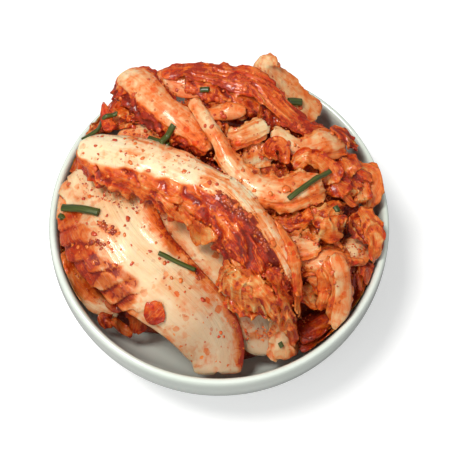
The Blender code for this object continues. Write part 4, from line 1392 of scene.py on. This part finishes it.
# points in millimetres, half width, extra lift
CHIVES = [
    ([(-73.0, 1.9), (-64.0, -0.8), (-55.0, -3.6)], 1.9, 0.2),
    ([(-27.3, -22.4), (-19.0, -25.6), (-10.6, -28.5)], 1.1, 0.2),
    ([(31.2, -2.5), (41.0, 5.6), (50.9, 14.2)], 1.3, 0.4),
    ([(32.6, 51.1), (36.0, 51.5), (39.2, 51.6)], 1.9, 0.5),
    ([(-66.0, 38.6), (-57.1, 41.5), (-47.3, 44.9)], 1.1, 0.3),
    ([(-26.5, 25.7), (-23.5, 29.4), (-20.5, 32.9)], 1.5, 0.3),
    ([(-32.6, 30.3), (-27.6, 27.8), (-22.8, 25.7)], 1.4, 0.3),
    ([(-8.8, 51.1), (-6.5, 51.3), (-4.6, 51.1)], 1.3, 0.3),
    ([(-74.4, -1.5), (-73.3, -2.2), (-72.5, -3.5)], 1.4, 0.0),
    ([(52.6, -2.9), (53.3, -4.1), (53.9, -5.4)], 1.4, 0.3),
    ([(27.9, -58.7), (28.6, -59.8), (29.2, -60.8)], 1.1, 0.2),
]
points, quads, flows = [], [], []
offset = 0
for seed, (spots, half_width, lift) in enumerate(CHIVES):
    rings, flow = chive(spots, half_width, lift, seed + 1)
    points.append(rings.reshape(-1, 3))
    flows.append(flow.reshape(-1, 3))
    quads.append(tube_quads(*rings.shape[:2], offset))
    offset += rings.shape[0] * rings.shape[1]
chives = mesh_piece("chives", np.concatenate(points), np.concatenate(quads), chive_green,
                    {"flow": np.concatenate(flows)})
print("chives:", len(CHIVES))

# %% [markdown]
# ## Chilli flakes and paste
#
# Coarse chilli flakes are thin chips of dried skin, half a millimetre to three across.
# They lie flat on whatever is under them.  The minced paste between them is made of soft
# wet crumbs, which gather in the hollows.

# %% Chips and crumbs
def on_surface(x, y):
    """Height and upward normal of the heap at each x, y."""
    soft = blur(heap, 1)
    slope_x, slope_y = np.gradient(soft, CELL)
    sx, sy = read_map(slope_x, x, y), read_map(slope_y, x, y)
    normal = unit(np.stack([-sx, -sy, np.ones_like(sx)], axis=-1))
    return read_map(soft, x, y), normal


def scatter_lumps(x, y, size, thin, sink, rng, rings=2, around=7):
    """Small closed lumps standing on the heap at x, y.

    A lump is a squashed ball: rings of points between two poles, each point pushed in or
    out at random, size wide and thin times as high.  Returns points, faces and tones.
    """
    count = len(x)
    z, normal = on_surface(x, y)
    spin = rng.uniform(0.0, math.tau, count)
    first = unit(np.cross(normal, np.stack([np.cos(spin), np.sin(spin), 0 * spin], axis=-1)))
    second = np.cross(normal, first)
    latitude = (np.arange(1, rings + 1) / (rings + 1) - 0.5) * math.pi
    longitude = np.arange(around) / around * math.tau
    lat, lon = np.meshgrid(latitude, longitude, indexing="ij")
    ball = np.stack([np.cos(lat) * np.cos(lon), np.cos(lat) * np.sin(lon), np.sin(lat)], axis=-1)
    ball = np.concatenate([[[0.0, 0.0, -1.0]], ball.reshape(-1, 3), [[0.0, 0.0, 1.0]]])
    uneven = rng.uniform(0.65, 1.15, (count, len(ball), 1))
    long_side = rng.uniform(0.55, 1.0, (count, 1))
    local = ball[None] * uneven * size[:, None, None]
    local[..., 1] *= long_side
    local[..., 2] *= thin
    centre = np.stack([x, y, z], axis=-1) + normal * (size * thin * sink)[:, None]
    points = (centre[:, None] + local[..., :1] * first[:, None] + local[..., 1:2] * second[:, None]
              + local[..., 2:] * normal[:, None])
    per = len(ball)
    faces = []
    for k in range(around):
        after = (k + 1) % around
        faces.append([0, 1 + after, 1 + k])
        faces.append([per - 1, 1 + (rings - 1) * around + k, 1 + (rings - 1) * around + after])
    for r in range(rings - 1):
        for k in range(around):
            a, b = 1 + r * around + k, 1 + r * around + (k + 1) % around
            faces.append([a, b, b + around])
            faces.append([a, b + around, a + around])
    faces = (np.array(faces)[None] + (np.arange(count) * per)[:, None, None]).reshape(-1, 3)
    tones = np.repeat(rng.uniform(0.0, 1.0, count), per)
    return points.reshape(-1, 3), faces, tones


def lump_piece(name, points, faces, tones, material):
    """An object of many lumps, with each lump's tone as a point attribute."""
    mesh = bpy.data.meshes.new(name)
    mesh.from_pydata((points * MM).tolist(), [], faces.tolist())
    mesh.shade_smooth()
    layer = mesh.attributes.new("tone", "FLOAT", "POINT")
    layer.data.foreach_set("value", tones.astype(np.float32))
    mesh.materials.append(material)
    piece = bpy.data.objects.new(name, mesh)
    bpy.context.scene.collection.objects.link(piece)
    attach(piece, "root")
    print(name, len(faces), "faces")
    return piece


def chilli_material(name, light, dark, roughness):
    """Glossy chilli skin whose colour runs from light to dark with each lump's tone."""
    material = bpy.data.materials.new(name)
    material.use_nodes = True
    tree = material.node_tree
    shader = tree.nodes["Principled BSDF"]
    tone = add_node(tree, "ShaderNodeAttribute", attribute_name="tone").outputs["Fac"]
    where = add_node(tree, "ShaderNodeTexCoord").outputs["Object"]
    uneven = calculate(tree, "ADD", tone, calculate(tree, "MULTIPLY_ADD",
                                                    cloud(tree, where, 900.0), 0.8, -0.4))
    tree.links.new(blend(tree, step_between(tree, uneven, 0.0, 1.0), light, dark),
                   shader.inputs["Base Color"])
    shader.inputs["Roughness"].default_value = roughness
    shader.inputs["Coat Weight"].default_value = 0.4
    shader.inputs["Coat Roughness"].default_value = 0.08
    shader.inputs["Subsurface Weight"].default_value = 0.15
    shader.inputs["Subsurface Scale"].default_value = 0.001
    return material


flake_material = chilli_material("chilli_flake", (0.88, 0.20, 0.02, 1.0),
                                 (0.62, 0.06, 0.010, 1.0), 0.35)
crumb_material = chilli_material("paste_crumb", (0.85, 0.18, 0.02, 1.0),
                                 (0.46, 0.035, 0.010, 1.0), 0.30)
smear_material = chilli_material("paste_smear", (0.60, 0.090, 0.014, 1.0),
                                 (0.26, 0.018, 0.006, 1.0), 0.25)
rng = np.random.default_rng(77)


def on_food(count, rng):
    """Random places on the food, thrown evenly over the bowl and kept where there is food."""
    x, y = rng.uniform(-78, 78, (2, 4 * count))
    z = read_map(heap, x, y)
    inside = (np.hypot(x, y) < food_reach(x, y) - 1.0) & (z > wall_height(np.hypot(x, y)) + 6.0)
    return x[inside][:count], y[inside][:count]


x, y = on_food(620, rng)
clumped = layered(x / 14.0, y / 14.0, 41, 3) + 0.35 * rng.normal(size=len(x)) > 0.0
x, y = x[clumped], y[clumped]
size = 0.45 + 1.2 * rng.uniform(size=len(x))**3
lump_piece("chilli_flakes", *scatter_lumps(x, y, size, 0.18, 0.2, rng), flake_material)

# the largest bits of chilli, given one by one: x, y and half width in millimetres
BITS = np.array([
    (-12.9, -13.1, 1.9), (0.0, -24.1, 1.5), (-26.3, -14.3, 1.2), (-28.5, -17.6, 0.9),
    (-50.1, 9.8, 1.4), (-49.5, -11.1, 1.7), (-54.1, -8.7, 1.3), (-45.7, -13.5, 1.4),
    (30.3, 2.0, 2.4), (16.1, 2.0, 1.2), (19.4, 19.9, 1.4), (5.1, 47.0, 1.3), (7.6, -7.8, 1.5),
    (3.2, -5.0, 1.3), (12.0, -10.8, 1.3), (-31.2, -21.5, 1.0), (-39.4, -27.9, 1.1),
    (-23.1, -25.9, 0.8), (-15.4, -38.9, 0.8), (-60.3, -18.7, 1.2)])
x, y = on_food(150, rng)
x, y = np.concatenate([BITS[:, 0], x]), np.concatenate([BITS[:, 1], y])
sheet = (np.hypot((x + 20) / 34, (y + 30) / 30) < 1) & (np.arange(len(x)) >= len(BITS))
size = np.concatenate([BITS[:, 2], rng.uniform(0.7, 1.7, len(x) - len(BITS))])
x, y, size = x[~sheet], y[~sheet], size[~sheet]
lump_piece("chilli_bits", *scatter_lumps(x, y, size, 0.25, 0.1, rng, rings=3, around=8),
           flake_material)

x, y = on_food(9000, rng)
hollow = read_map(blur(heap, 14) - heap, x, y)
sheet = np.hypot((x + 14) / 34, (y + 24) / 28) < 1       # the clean leaves in front
deep = (hollow + 0.5 * layered(x / 9.0, y / 9.0, 55, 2) > 0.75) & ~sheet
x, y = x[deep][:900], y[deep][:900]
size = 0.3 + 0.6 * rng.uniform(size=len(x))**2
lump_piece("paste_crumbs", *scatter_lumps(x, y, size, 0.6, 0.1, rng), crumb_material)

# %% Smears of paste along given lines
# from and to in millimetres, how wide, how many crumbs
SMEAR_LINES = [((0.1, -1.9), (13.6, -13.6), 1.7, 120), ((-55.1, -7.3), (-48.1, -13.1), 1.6, 36),
               ((-12.0, -27.5), (-8.0, -33.0), 1.2, 14), ((15.0, -16.0), (22.0, -26.0), 1.0, 34),
               ((-58.0, -16.0), (-52.0, -20.0), 1.6, 16)]
xs, ys = [], []
for (x0, y0), (x1, y1), wide, count in SMEAR_LINES:
    t = rng.uniform(size=count)
    xs.append(x0 + (x1 - x0) * t + wide * 0.5 * rng.normal(size=count))
    ys.append(y0 + (y1 - y0) * t + wide * 0.5 * rng.normal(size=count))
x, y = np.concatenate(xs), np.concatenate(ys)
size = 0.5 + 1.2 * rng.uniform(size=len(x))**2
lump_piece("paste_smears", *scatter_lumps(x, y, size, 0.22, -0.1, rng), smear_material)
